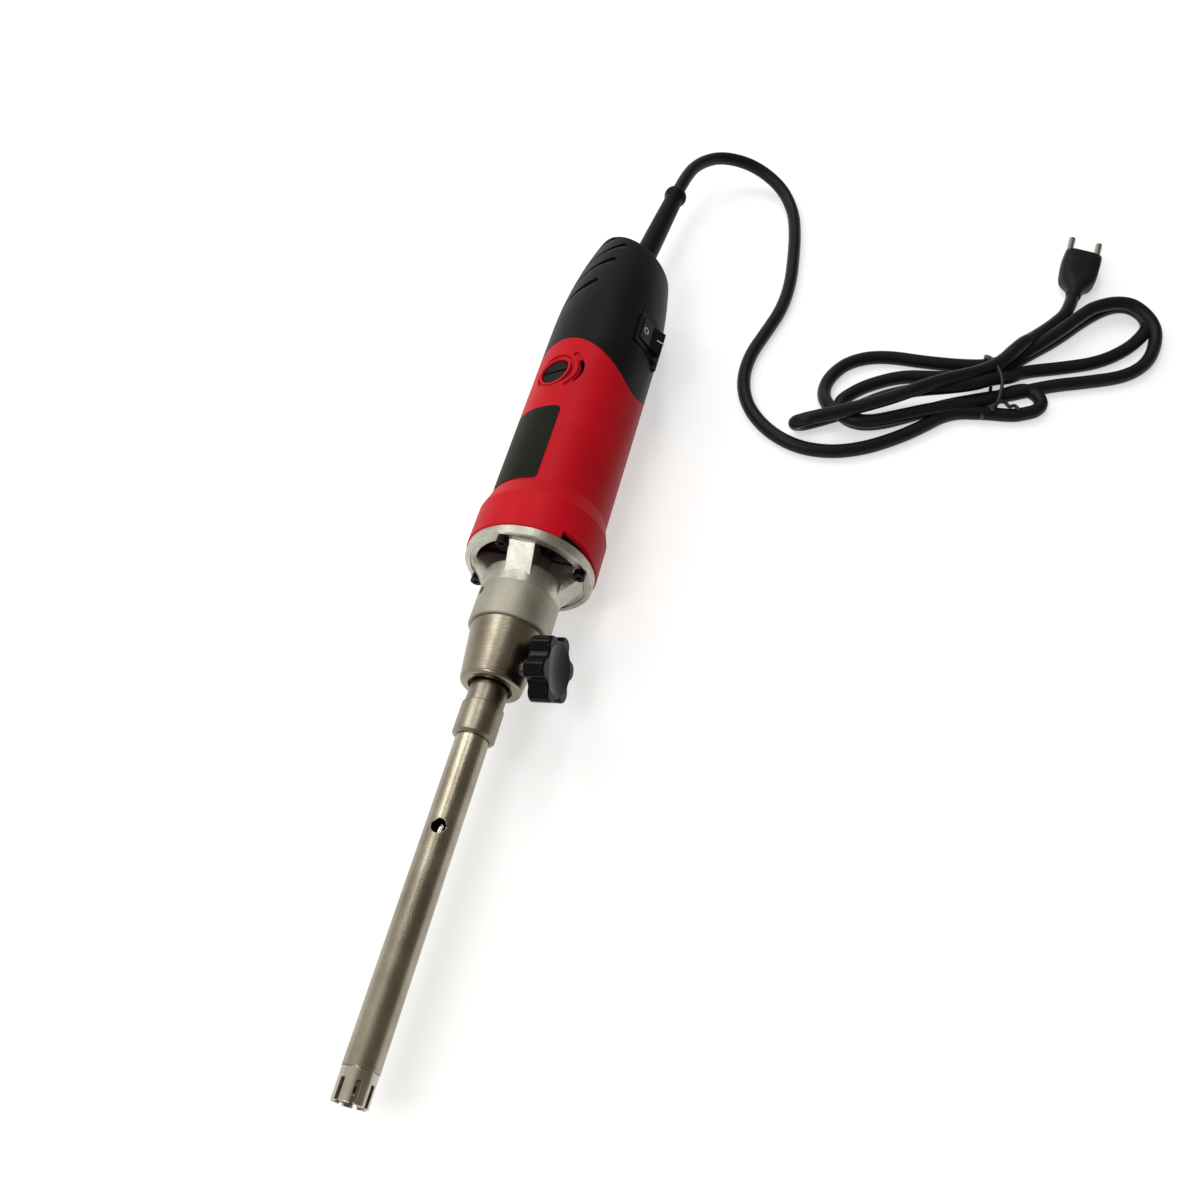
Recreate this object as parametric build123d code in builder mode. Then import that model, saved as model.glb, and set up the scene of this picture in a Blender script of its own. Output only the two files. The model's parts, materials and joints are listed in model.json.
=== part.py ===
"""Hand-held rotor-stator homogenizer: motor unit, clamp socket and 18 mm dispersing tool.

Units are millimetres. The tool's axis lies along X and +X points at the dispersing head.
The origin is on that axis at the lower end of the stator tube, and +Z is up, away from
the bench that the machine lies on. Angles around the axis count from up towards +Y.
"""

import os
from math import cos, pi, radians, sin, sqrt, tan

from build123d import *

# ---------------------------------------------------------------- driving dimensions
# Dispersing tool: lengths run from the lower end of the tube back to the motor.
tube_radius = 9.0
tube_wall = 1.0
tube_length = 167.5
tube_grip = 32.5
tube_grip_radius = 8.8
vent_radius = 3.9
vent_reach = 115.3
vent_angle = -3.0

head_radius = 8.8
head_length = 15.0
head_wall = 1.8
head_spigot = 7.0
head_slots = 7
slot_width = 2.5
slot_length = 9.8
slot_angle = 18.0
joint_groove = 0.5

shaft_radius = 4.0
bush_radius = 6.0
bush_length = 9.0
mid_bush_reach = 126.0

rotor_gap = 0.4
rotor_wall = 2.1
rotor_teeth = 4
rotor_gullet = 4.6
rotor_base = 2.2
rotor_recess = 0.7
rotor_stem = 2.5
rotor_nut_flats = 7.0
rotor_nut_height = 3.0

sleeve_radius = 10.5
sleeve_foot_radius = 11.5
sleeve_foot_length = 19.4
sleeve_length = 61.5
sleeve_chamfer = 1.5
sleeve_cup = 8.0
shaft_hex_lap = 1.5

tool_bearing_radius = 8.0
tool_bearing_width = 5.0
circlip_width = 1.2
circlip_depth = 0.5

# Clamp socket and star knob.
socket_mouth_gap = 12.0
socket_length = 34.3
socket_low_radius = 17.0
socket_top_radius = 21.0
socket_edge = 2.5
socket_mouth_radius = 12.3
socket_mouth_depth = 4.0
socket_chamber_radius = 13.0
socket_step = 1.0
spigot_radius = 18.0
spigot_length = 10.3

clamp_reach = 13.2
clamp_angle = 71.0
stud_radius = 4.0
pad_radius = 3.2
pad_thickness = 2.5
pad_neck_radius = 1.5
pad_neck_length = 2.2
knob_back = 25.0
knob_thickness = 12.0
knob_hub_radius = 7.5
knob_hub_length = 1.8
knob_core_radius = 15.2
knob_lobe_radius = 5.6
knob_lobes = 6
knob_reach = 19.5
knob_rounding = 1.2
dish_radius = 14.0
dish_depth = 2.2

# Grey clamp ring and cast front bracket.
ring_radius = 22.85
ring_length = 22.3
ring_chamfer = 0.6
set_screw_radius = 2.6
set_screw_length = 5.0
set_screw_sunk = 1.0
set_screw_count = 2
set_screw_angle = -58.0
set_screw_reach = 5.0
set_screw_flats = 2.5

neck_length = 19.0
flange_radius = 37.5
flange_thickness = 5.9
flange_inner = 31.0
flange_step_radius = 34.2
flange_step = 0.9
flange_chamfer = 0.8
register_depth = 3.0
register_wall = 2.5
arm_width = 14.5
arm_count = 4
arm_angle = -3.0
arm_drop = 14.0
collar_drop = 7.0
bearing_hub_radius = 15.0
bracket_bore = 12.5
bracket_lip = 2.0
bracket_lip_radius = 9.0
flange_screw_circle = 33.0
flange_screw_angle = -22.0
flange_screw_radius = 2.0
flange_screw_head = 3.5
flange_screw_length = 20.0
flange_screw_flats = 3.0
flange_ear = 4.4

# Motor: bearings, armature, field and fan.
front_bearing_radius = 11.0
front_bearing_width = 7.0
front_bearing_depth = 3.5
rear_bearing_radius = 9.5
rear_bearing_bore = 3.5
rear_bearing_width = 6.0
rear_bearing_back = 159.6
bearing_ring = 1.5
seal_gap = 0.15
core_shaft_radius = 5.0
armature_radius = 18.0
armature_teeth = 12
armature_slot = 2.0
armature_slot_depth = 4.5
core_length = 60.0
core_start = 41.5
air_gap = 0.6
field_radius = 32.0
field_yoke = 5.0
field_flat = 29.5
pole_angle = 110.0
winding_radius = 16.2
winding_bore = 7.5
front_winding_length = 9.0
rear_winding_length = 11.0
coil_length = 8.0
coil_outer = 28.0
coil_inner = 20.0
coil_gap = 0.8
commutator_radius = 12.0
commutator_length = 19.0
commutator_bars = 24
bar_slot = 0.5
bar_slot_depth = 0.8
fan_radius = 26.5
fan_hub_radius = 9.0
fan_plate = 1.8
fan_depth = 12.0
fan_blades = 9
fan_blade = 1.6
fan_clearance = 5.0
baffle_bore = 21.5
baffle_thickness = 2.0
baffle_seat = 1.0
coupling_radius = 7.5
coupling_length = 28.0
coupling_flats = 7.0
coupling_hold = 12.3
coupling_gap = 1.0

# Red motor housing.
body_radius = 35.0
body_wall = 3.0
skirt_radius = 38.3
skirt_length = 24.1
flare_length = 11.4
skirt_notch_width = 32.0
skirt_notch_height = 5.0
skirt_notch_waist = 3.9
skirt_notch_angle = 54.0
screw_boss_radius = 4.2
seam_back = 149.6
seam_arc = 37.5
seam_reach = 60.0
lip_length = 4.0
lip_wall = 1.4
carrier_width = 10.0
carrier_depth = 16.0
carrier_cup_wall = 3.0

# Brush gear.
brush_angle = -31.0
brush_back = 122.2
cap_radius = 9.35
cap_thickness = 3.4
cap_sunk = 1.4
cap_slot = 1.8
cap_slot_depth = 1.2
cap_fit = 0.15
boss_radius = 13.0
boss_depth = 10.0
boss_drop = 0.6
holder_radius = 8.6
brush_length = 8.0
brush_width = 6.0
brush_gap = 0.3
brush_height = 12.2
brush_side_gap = 0.1
spring_radius = 2.4
spring_wire = 0.5
spring_turns = 4
crescent_radius = 16.7
crescent_width = 3.4
crescent_angle = 96.0
crescent_open_angle = 56.0
crescent_depth = 1.3
crescent_ledge = 0.4

# Black rear cover.
cover_wall = 2.6
cover_straight = 171.6
cover_arc = 375.0
tail_back = 252.6
tail_shift = 4.7
tail_slant = 6.3
tail_cut_slant = 26.0
tail_rounding = 4.5
tail_wall = 3.5
groove_depth = 1.5
groove_rise = 0.8
groove_width = 6.5
groove_slope = 23.0
groove_left = -96.0
groove_ends = ((-538.0, -31.0), (-527.0, -7.0), (-509.5, -11.0), (-486.5, -21.0))
cover_screw_radius = 1.9
cover_screw_head = 3.4
cover_screw_length = 11.0
cover_screw_sink = 1.8
cover_screw_back = 162.0
cover_screw_angles = (150.0, 210.0)
lug_width = 9.0
lug_depth = 6.0
wall_gap = 0.5

# Rocker switch.
switch_back = 174.6
switch_place_angle = 59.5
switch_face_angle = 54.0
switch_face_reach = 33.2
bezel_length = 26.0
bezel_width = 24.5
bezel_height = 2.2
bezel_rounding = 2.0
bezel_chamfer = 0.6
pocket_margin = 0.8
pocket_height = 9.0
switch_body_length = 21.4
switch_body_width = 20.6
switch_body_depth = 20.0
switch_hole_fit = 0.1
rocker_length = 17.0
rocker_half = 9.8
rocker_fit = 0.35
rocker_pivot_sunk = 1.5
rocker_tilt = 12.0
rocker_valley = 2.4
rocker_tip = 4.6
rocker_well = 12.0
terminal_width = 6.3
terminal_thickness = 0.8
terminal_length = 8.0
terminal_spacing = 10.0

# Strain relief, mains cord, hank and plug.
relief_base_radius = 7.6
relief_tip_radius = 6.5
relief_bulb_radius = 8.0
relief_length = 86.0
relief_bulb_length = 7.0
relief_collar_radius = 10.0
relief_collar_length = 4.0
cord_radius = 4.0
cord_first_run = 23.0
bench_drop = 38.3
hank_height = 22.0
plug_lead = 20.0
plug_length = 42.0
plug_width = 26.0
plug_height = 18.0
plug_rounding = 6.0
plug_pin_radius = 2.4
plug_pin_length = 19.0
plug_pin_spacing = 19.0
tie_width = 5.0
tie_wall = 1.4
tie_span = 54.0

# Clearances between pieces that move on each other.
running_fit = 0.06
slide_fit = 0.08
hex_fit = 0.3
seat_gap = 0.3

# ---------------------------------------------------------------- stations along the axis
tube_bore = tube_radius - tube_wall
tube_top = -tube_length - tube_grip
sleeve_foot = -tube_length
sleeve_step = sleeve_foot - sleeve_foot_length
sleeve_top = sleeve_foot - sleeve_length
socket_mouth = sleeve_step - socket_mouth_gap
socket_top = socket_mouth - socket_length
clamp_place = socket_mouth - clamp_reach
ring_top = socket_top - ring_length
neck_top = ring_top - neck_length
flange_top = neck_top - flange_thickness
head_bore = head_radius - head_wall
front_bearing_top = neck_top + front_bearing_depth
front_bearing_foot = front_bearing_top + front_bearing_width
skirt_top = flange_top - skirt_length
flare_top = skirt_top - flare_length
body_bore = body_radius - body_wall
skirt_bore = skirt_radius - body_wall
seam_apex = flange_top - seam_back
rear_bearing_foot = flange_top - rear_bearing_back
rear_bearing_top = rear_bearing_foot - rear_bearing_width
brush_place = flange_top - brush_back
core_foot = neck_top - core_start
core_top = core_foot - core_length
fan_foot = flange_top - fan_clearance
coupling_top = front_bearing_foot + coupling_gap
coupling_foot = coupling_top + coupling_length
shaft_foot = coupling_top + coupling_hold
tail_place = flange_top - tail_back
cover_bend = flange_top - cover_straight
bench = -bench_drop


# ---------------------------------------------------------------- helpers
def outward(angle):
    """Unit direction square to the axis, at an angle from up towards +Y."""
    return Vector(0, sin(radians(angle)), cos(radians(angle)))


def radial_plane(place, angle, reach=0.0):
    """Plane at a station of the axis whose z points outwards and whose x points at the head."""
    centre = Vector(place, 0, 0) + outward(angle) * reach
    return Plane(origin=centre, x_dir=(1, 0, 0), z_dir=outward(angle))


def side_plane(angle):
    """Plane through the axis: its x runs along the axis and its y outwards at the angle."""
    return Plane(origin=(0, 0, 0), x_dir=(1, 0, 0), z_dir=Vector(1, 0, 0).cross(outward(angle)))


def across_plane(place, spot=Vector(0, 0, 0)):
    """Plane across the axis, or across a line beside it, with its z towards the head."""
    return Plane(origin=Vector(place, 0, 0) + spot, x_dir=(0, 1, 0), z_dir=(1, 0, 0))


def turn(*outline, mode=Mode.ADD):
    """Turn an outline of (station, radius) points about the axis."""
    with BuildSketch(Plane.XY) as profile:
        with BuildLine():
            Polyline(*outline, close=True)
        make_face()
    revolve(profile.sketch, axis=Axis.X, mode=mode)


def ring(low, high, outer, inner=0.0, mode=Mode.ADD):
    """Turn a plain ring or disc between two stations."""
    turn((low, inner), (high, inner), (high, outer), (low, outer), mode=mode)


def post(plane, low, high, radius, mode=Mode.ADD):
    """Add or cut a round post between two heights of a plane."""
    with BuildSketch(plane.offset(low)) as section:
        Circle(radius)
    extrude(section.sketch, amount=high - low, mode=mode)


def block(plane, low, high, length, width, mode=Mode.ADD):
    """Add or cut a rectangular block between two heights of a plane."""
    with BuildSketch(plane.offset(low)) as section:
        Rectangle(length, width)
    extrude(section.sketch, amount=high - low, mode=mode)


def hexagon(plane, low, high, flats, mode=Mode.ADD):
    """Add or cut a hexagonal prism of a given size across its flats."""
    with BuildSketch(plane.offset(low)) as section:
        RegularPolygon(flats / 2, 6, major_radius=False)
    extrude(section.sketch, amount=high - low, mode=mode)


def turn_on(plane, *outline, mode=Mode.ADD):
    """Turn an outline of (height, radius) points about the z line of a plane."""
    half = Plane(origin=plane.origin, x_dir=plane.z_dir, z_dir=plane.x_dir)
    with BuildSketch(half) as profile:
        with BuildLine():
            Polyline(*outline, close=True)
        make_face()
    revolve(profile.sketch, axis=Axis(plane.origin, plane.z_dir), mode=mode)


def sector(low, high, outer, inner, middle, spread, mode=Mode.ADD):
    """Add or cut a sector of a ring between two stations, around an angle of the axis."""
    angles = (middle - spread / 2, middle, middle + spread / 2)
    corners = [(2 * outer * sin(radians(a)), 2 * outer * cos(radians(a))) for a in angles]
    with BuildSketch(across_plane(low)) as section:
        with BuildLine():
            Polyline((0, 0), *corners, close=True)
        make_face()
        Circle(outer, mode=Mode.INTERSECT)
        Circle(inner, mode=Mode.SUBTRACT)
    extrude(section.sketch, amount=high - low, mode=mode)


def write(piece, label):
    """Label a finished piece and write it under its node's name."""
    piece.part.label = label
    export_step(piece.part, f"parts/{label}.step")
    print(f"{label}: {len(piece.part.solids())} solids, {piece.part.volume:.0f} mm3")


os.makedirs("parts", exist_ok=True)

# ---------------------------------------------------------------- dispersing tool
with BuildPart() as stator_tube:
    ring(sleeve_foot, 0, tube_radius, tube_bore)
    ring(tube_top, sleeve_foot, tube_grip_radius, tube_bore)
    for side in (0, 180):
        vent = radial_plane(-vent_reach, vent_angle + side)
        post(vent, 0, tube_radius + tube_wall, vent_radius, Mode.SUBTRACT)
write(stator_tube, "stator_tube")

chamber_foot = head_length - slot_length - joint_groove
with BuildPart() as stator_head:
    ring(-head_spigot, head_length, tube_bore)
    ring(joint_groove, head_length, head_radius)
    ring(-head_spigot, bush_length - head_spigot, bush_radius, mode=Mode.SUBTRACT)
    ring(-head_spigot, head_length, shaft_radius + joint_groove, mode=Mode.SUBTRACT)
    ring(chamber_foot, head_length, head_bore, mode=Mode.SUBTRACT)
    for step in range(head_slots):
        slot_plane = radial_plane(head_length - slot_length / 2, slot_angle + step * 360 / head_slots)
        block(slot_plane, shaft_radius, head_radius + 1, slot_length, slot_width, Mode.SUBTRACT)
write(stator_head, "stator_head")

with BuildPart() as lower_bush:
    ring(-head_spigot, bush_length - head_spigot, bush_radius, shaft_radius + running_fit)
write(lower_bush, "lower_bush")

with BuildPart() as mid_bush:
    ring(-mid_bush_reach - bush_length, -mid_bush_reach, tube_bore, shaft_radius + running_fit)
write(mid_bush, "mid_bush")

rotor_radius = head_bore - rotor_gap
rotor_foot = chamber_foot + rotor_recess
rotor_end = head_length - rotor_recess
with BuildPart() as rotor:
    ring(rotor_foot, rotor_end, rotor_radius)
    ring(rotor_foot + rotor_base, rotor_end, rotor_radius - rotor_wall, mode=Mode.SUBTRACT)
    ring(rotor_foot, rotor_end, rotor_stem, mode=Mode.SUBTRACT)
    for step in range(rotor_teeth):
        gullet = radial_plane((rotor_foot + rotor_base + rotor_end) / 2, step * 360 / rotor_teeth)
        gullet_length = rotor_end - rotor_foot - rotor_base
        block(gullet, 0, rotor_radius + 1, gullet_length, rotor_gullet, Mode.SUBTRACT)
write(rotor, "rotor")

with BuildPart() as rotor_nut:
    hexagon(across_plane(rotor_foot + rotor_base), 0, rotor_nut_height, rotor_nut_flats)
    ring(rotor_foot, head_length, rotor_stem, mode=Mode.SUBTRACT)
write(rotor_nut, "rotor_nut")

hex_foot = coupling_foot + shaft_hex_lap
hex_top = shaft_foot + seat_gap
with BuildPart() as drive_shaft:
    ring(hex_foot, rotor_foot, shaft_radius)
    ring(rotor_foot, rotor_foot + rotor_base + rotor_nut_height, rotor_stem)
    hexagon(across_plane(hex_top), 0, hex_foot - hex_top, coupling_flats - 2 * hex_fit)
write(drive_shaft, "drive_shaft")

bearing_foot = sleeve_top + sleeve_cup
circlip_foot = bearing_foot - tool_bearing_width
with BuildPart() as tool_sleeve:
    turn(
        (sleeve_top, 0),
        (sleeve_foot, 0),
        (sleeve_foot, sleeve_foot_radius - sleeve_chamfer),
        (sleeve_foot - sleeve_chamfer, sleeve_foot_radius),
        (sleeve_step + sleeve_chamfer / 3, sleeve_foot_radius),
        (sleeve_step, sleeve_foot_radius - sleeve_chamfer / 3),
        (sleeve_step, sleeve_radius),
        (sleeve_top + sleeve_chamfer / 2, sleeve_radius),
        (sleeve_top, sleeve_radius - sleeve_chamfer / 2),
    )
    ring(tube_top, sleeve_foot, tube_grip_radius, mode=Mode.SUBTRACT)
    ring(bearing_foot, tube_top, tool_bearing_radius - bearing_ring, mode=Mode.SUBTRACT)
    ring(sleeve_top, bearing_foot, tool_bearing_radius, mode=Mode.SUBTRACT)
    groove_outer = tool_bearing_radius + circlip_depth
    ring(circlip_foot - circlip_width, circlip_foot, groove_outer, mode=Mode.SUBTRACT)
write(tool_sleeve, "tool_sleeve")


def bearing_outer(name, low, high, outer, bore):
    """Outer ring of a sealed ball bearing, with its two seals."""
    seal = (outer + bore) / 2
    land = bore + bearing_ring + seal_gap
    with BuildPart() as piece:
        ring(low, high, outer, seal)
        ring(low, low + 1, seal, land)
        ring(high - 1, high, seal, land)
    write(piece, name)


def bearing_inner(name, low, high, bore):
    """Inner ring of a sealed ball bearing."""
    with BuildPart() as piece:
        ring(low, high, bore + bearing_ring, bore)
    write(piece, name)


bearing_outer("tool_bearing_outer", circlip_foot, bearing_foot, tool_bearing_radius, shaft_radius)
bearing_inner("tool_bearing_inner", circlip_foot, bearing_foot, shaft_radius)

with BuildPart() as bearing_circlip:
    clip_bore = tool_bearing_radius - circlip_depth
    ring(circlip_foot - circlip_width, circlip_foot, groove_outer, clip_bore)
    clip_gap = radial_plane(circlip_foot - circlip_width / 2, 0)
    block(clip_gap, 0, 2 * groove_outer, 2 * circlip_width, clip_bore / 2, Mode.SUBTRACT)
write(bearing_circlip, "bearing_circlip")

# ---------------------------------------------------------------- clamp socket and knob
sleeve_stop = sleeve_top - seat_gap
clamp_plane = radial_plane(clamp_place, clamp_angle)
with BuildPart() as cone_socket:
    with BuildSketch(Plane.XY) as cone_half:
        with BuildLine():
            Polyline(
                (socket_top - spigot_length, 0),
                (socket_mouth, 0),
                (socket_mouth, socket_low_radius),
                (socket_top, socket_top_radius),
                (socket_top, spigot_radius),
                (socket_top - spigot_length, spigot_radius),
                close=True,
            )
        make_face()
        fillet(cone_half.vertices().group_by(Axis.X)[-1].sort_by(Axis.Y)[-1], socket_edge)
    revolve(axis=Axis.X)
    ring(sleeve_stop, socket_mouth, sleeve_radius + slide_fit, mode=Mode.SUBTRACT)
    ring(socket_mouth - socket_mouth_depth, socket_mouth, socket_mouth_radius, mode=Mode.SUBTRACT)
    ring(socket_top - spigot_length, sleeve_stop, tool_bearing_radius + bearing_ring, mode=Mode.SUBTRACT)
    spigot_top = socket_top - spigot_length
    ring(spigot_top, socket_top - socket_step, socket_chamber_radius, mode=Mode.SUBTRACT)
    post(clamp_plane, sleeve_radius, socket_top_radius + 1, stud_radius + slide_fit, Mode.SUBTRACT)
write(cone_socket, "cone_socket")

pad_low = sleeve_radius + seat_gap
pad_high = pad_low + pad_thickness
stud_low = pad_high + seat_gap
with BuildPart() as clamp_pad:
    post(clamp_plane, pad_low, pad_high, pad_radius)
    post(clamp_plane, pad_high, pad_high + pad_neck_length, pad_neck_radius)
write(clamp_pad, "clamp_pad")

with BuildPart() as knob_stud:
    post(clamp_plane, stud_low, knob_back + knob_thickness / 2, stud_radius)
    neck_hole = pad_neck_radius + running_fit
    post(clamp_plane, stud_low, pad_high + pad_neck_length + seat_gap, neck_hole, Mode.SUBTRACT)
write(knob_stud, "knob_stud")

knob_face = knob_back + knob_thickness
with BuildPart() as star_knob:
    with BuildSketch(clamp_plane.offset(knob_back)) as star:
        Circle(knob_core_radius)
        with PolarLocations(knob_reach - knob_lobe_radius, knob_lobes):
            Circle(knob_lobe_radius)
        fillet(star.vertices(), knob_lobe_radius / 2)
    extrude(amount=knob_thickness)
    fillet(star_knob.faces().filter_by(clamp_plane).edges(), knob_rounding)
    dish_sphere = (dish_radius**2 + dish_depth**2) / (2 * dish_depth)
    with Locations(clamp_plane.offset(knob_face - dish_depth + dish_sphere)):
        Sphere(dish_sphere, mode=Mode.SUBTRACT)
    post(clamp_plane, knob_back - knob_hub_length, knob_back, knob_hub_radius)
    post(clamp_plane, 0, knob_back + knob_thickness / 2, stud_radius, Mode.SUBTRACT)
write(star_knob, "star_knob")

# ---------------------------------------------------------------- clamp ring and bracket
set_screw_place = ring_top + set_screw_reach
set_screw_planes = [
    radial_plane(set_screw_place, set_screw_angle + step * 360 / set_screw_count)
    for step in range(set_screw_count)
]
set_screw_high = ring_radius - set_screw_sunk
set_screw_low = set_screw_high - set_screw_length
with BuildPart() as clamp_ring:
    turn(
        (socket_top, spigot_radius),
        (socket_top, ring_radius - ring_chamfer),
        (socket_top - ring_chamfer, ring_radius),
        (ring_top, ring_radius),
        (ring_top, spigot_radius),
    )
    for plane in set_screw_planes:
        post(plane, set_screw_low, ring_radius + 1, set_screw_radius, Mode.SUBTRACT)
write(clamp_ring, "clamp_ring")

with BuildPart() as set_screws:
    for plane in set_screw_planes:
        post(plane, set_screw_low, set_screw_high, set_screw_radius)
        hexagon(plane, set_screw_high - set_screw_length / 2, ring_radius, set_screw_flats, Mode.SUBTRACT)
write(set_screws, "ring_set_screws")

def skirt_notch(low, high):
    """Cut the wedge-shaped air outlet at the skirt's edge."""
    half = skirt_notch_width / 2
    with BuildSketch(radial_plane(flange_top, skirt_notch_angle, low)) as opening:
        with BuildLine():
            Polyline(
                (0, -half),
                (-skirt_notch_height, -half),
                (-skirt_notch_waist, 0),
                (0, half),
                close=True,
            )
        make_face()
    extrude(opening.sketch, amount=high - low, mode=Mode.SUBTRACT)


flange_screw_spots = [
    outward(flange_screw_angle + step * 360 / arm_count) * flange_screw_circle
    for step in range(arm_count)
]
spigot_end = ring_top + spigot_length + seat_gap
collar_rim = neck_top + collar_drop
with BuildPart() as front_bracket:
    ring(ring_top, spigot_end, spigot_radius)
    ring(collar_rim, ring_top, ring_radius)
    ring(flange_top, collar_rim, bearing_hub_radius)
    turn(
        (flange_top, flange_inner),
        (flange_top, flange_radius),
        (neck_top - flange_chamfer, flange_radius),
        (neck_top, flange_radius - flange_chamfer),
        (neck_top, flange_step_radius),
        (neck_top - flange_step, flange_step_radius),
        (neck_top - flange_step, flange_inner),
    )
    ring(flange_top - register_depth, flange_top, skirt_bore, skirt_bore - register_wall)
    for step in range(arm_count):
        with BuildSketch(side_plane(arm_angle + step * 360 / arm_count)) as web:
            with BuildLine():
                Polyline(
                    (flange_top, front_bearing_radius),
                    (flange_top, flange_inner + 1),
                    (neck_top, flange_inner + 1),
                    (neck_top + arm_drop, ring_radius - 1),
                    (neck_top + arm_drop, front_bearing_radius),
                    close=True,
                )
            make_face()
        extrude(amount=arm_width / 2, both=True)
    for spot in flange_screw_spots:
        post(across_plane(flange_top, spot), 0, flange_thickness, flange_ear)
    ring(flange_top - 1, front_bearing_foot, front_bearing_radius, mode=Mode.SUBTRACT)
    ring(front_bearing_foot, ring_top, bracket_lip_radius, mode=Mode.SUBTRACT)
    ring(front_bearing_foot + bracket_lip, spigot_end, bracket_bore, mode=Mode.SUBTRACT)
    for spot in flange_screw_spots:
        hole = across_plane(flange_top - register_depth, spot)
        post(hole, 0, register_depth + flange_thickness, flange_screw_radius, Mode.SUBTRACT)
    skirt_notch(skirt_bore - 2 * register_wall, skirt_radius)
    for plane in set_screw_planes:
        post(plane, set_screw_low, ring_radius, set_screw_radius, Mode.SUBTRACT)
write(front_bracket, "front_bracket")

flange_screw_tip = neck_top - flange_screw_length
with BuildPart() as flange_screws:
    for spot in flange_screw_spots:
        plane = across_plane(neck_top, spot)
        post(plane, -flange_screw_length, 0, flange_screw_radius)
        post(plane, 0, flange_screw_radius * 2, flange_screw_head)
        hexagon(plane, flange_screw_radius, flange_screw_radius * 2, flange_screw_flats, Mode.SUBTRACT)
write(flange_screws, "flange_screws")

# ---------------------------------------------------------------- motor
with BuildPart() as motor_shaft:
    ring(front_bearing_top, shaft_foot, shaft_radius)
    ring(rear_bearing_foot, front_bearing_top, core_shaft_radius)
    ring(rear_bearing_top - 1, rear_bearing_foot, rear_bearing_bore)
write(motor_shaft, "motor_shaft")

with BuildPart() as drive_coupling:
    ring(coupling_top, coupling_foot, coupling_radius)
    ring(coupling_top, shaft_foot, shaft_radius, mode=Mode.SUBTRACT)
    hexagon(across_plane(shaft_foot), 0, coupling_foot - shaft_foot, coupling_flats, Mode.SUBTRACT)
write(drive_coupling, "drive_coupling")

front_seat = (front_bearing_top, front_bearing_foot)
rear_seat = (rear_bearing_top, rear_bearing_foot)
bearing_outer("front_bearing_outer", *front_seat, front_bearing_radius, shaft_radius)
bearing_inner("front_bearing_inner", *front_seat, shaft_radius)
bearing_outer("rear_bearing_outer", *rear_seat, rear_bearing_radius, rear_bearing_bore)
bearing_inner("rear_bearing_inner", *rear_seat, rear_bearing_bore)

with BuildPart() as armature_core:
    ring(core_top, core_foot, armature_radius, core_shaft_radius)
    core_middle = (core_top + core_foot) / 2
    for step in range(armature_teeth):
        slot_plane = radial_plane(core_middle, step * 360 / armature_teeth)
        slot_low = armature_radius - armature_slot_depth
        block(slot_plane, slot_low, armature_radius + 1, core_length, armature_slot, Mode.SUBTRACT)
write(armature_core, "armature_core")

with BuildPart() as armature_windings:
    for start, length in ((core_foot, front_winding_length), (core_top, -rear_winding_length)):
        turn(
            (start, winding_bore),
            (start, winding_radius),
            (start + 0.5 * length, winding_radius),
            (start + length, 0.75 * winding_radius),
            (start + length, winding_bore),
        )
write(armature_windings, "armature_windings")

commutator_low = brush_place - commutator_length / 2
commutator_high = brush_place + commutator_length / 2
with BuildPart() as commutator:
    ring(commutator_low, commutator_high, commutator_radius, core_shaft_radius)
    for step in range(commutator_bars):
        bar_plane = radial_plane(brush_place, step * 360 / commutator_bars)
        cut_low = commutator_radius - bar_slot_depth
        block(bar_plane, cut_low, commutator_radius + 1, commutator_length, bar_slot, Mode.SUBTRACT)
write(commutator, "commutator")

pole_angles = (brush_angle + 90, brush_angle + 270)
field_bore = armature_radius + air_gap
with BuildPart() as field_core:
    ring(core_top, core_foot, field_radius, field_bore)
    for angle in (brush_angle, brush_angle + 180):
        window = 180 - pole_angle
        sector(core_top, core_foot, field_radius - field_yoke, field_bore / 2, angle, window, Mode.SUBTRACT)
        flat = radial_plane(core_middle, angle)
        block(flat, field_flat, field_radius + 1, core_length, 2 * field_radius, Mode.SUBTRACT)
write(field_core, "field_core")

leg_spread = (180 - pole_angle) / 2 - 2 * coil_gap
leg_offset = pole_angle / 2 + coil_gap + leg_spread / 2
leg_outer = field_radius - field_yoke - coil_gap
leg_inner = coil_inner + coil_gap / 2
with BuildPart() as field_coils:
    for pole in pole_angles:
        for side in (-1, 1):
            leg_angle = pole + side * leg_offset
            leg_ends = (core_top - coil_length / 2, core_foot + coil_length / 2)
            sector(*leg_ends, leg_outer, leg_inner, leg_angle, leg_spread)
        turn_spread = 2 * leg_offset + leg_spread + coil_gap
        sector(core_top - coil_length, core_top - coil_gap, coil_outer, coil_inner, pole, turn_spread)
        sector(core_foot + coil_gap, core_foot + coil_length, coil_outer, coil_inner, pole, turn_spread)
write(field_coils, "field_coils")

fan_top = fan_foot - fan_depth
with BuildPart() as cooling_fan:
    ring(fan_top, fan_foot, fan_hub_radius)
    ring(fan_top, fan_top + fan_plate, fan_radius)
    for step in range(fan_blades):
        blade_plane = radial_plane((fan_top + fan_foot) / 2, step * 360 / fan_blades)
        block(blade_plane, fan_hub_radius / 2, fan_radius - 0.5, fan_depth, fan_blade)
    ring(fan_top, fan_foot, core_shaft_radius, mode=Mode.SUBTRACT)
write(cooling_fan, "cooling_fan")

baffle_top = skirt_top + baffle_seat
baffle_foot = baffle_top + baffle_thickness
with BuildPart() as air_baffle:
    ring(baffle_top, baffle_foot, skirt_bore, baffle_bore)
write(air_baffle, "air_baffle")

# ---------------------------------------------------------------- red motor housing
brush_planes = [radial_plane(brush_place, brush_angle + side) for side in (0, 180)]
seam_plane = radial_plane(seam_apex + seam_arc, brush_angle)


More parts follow.
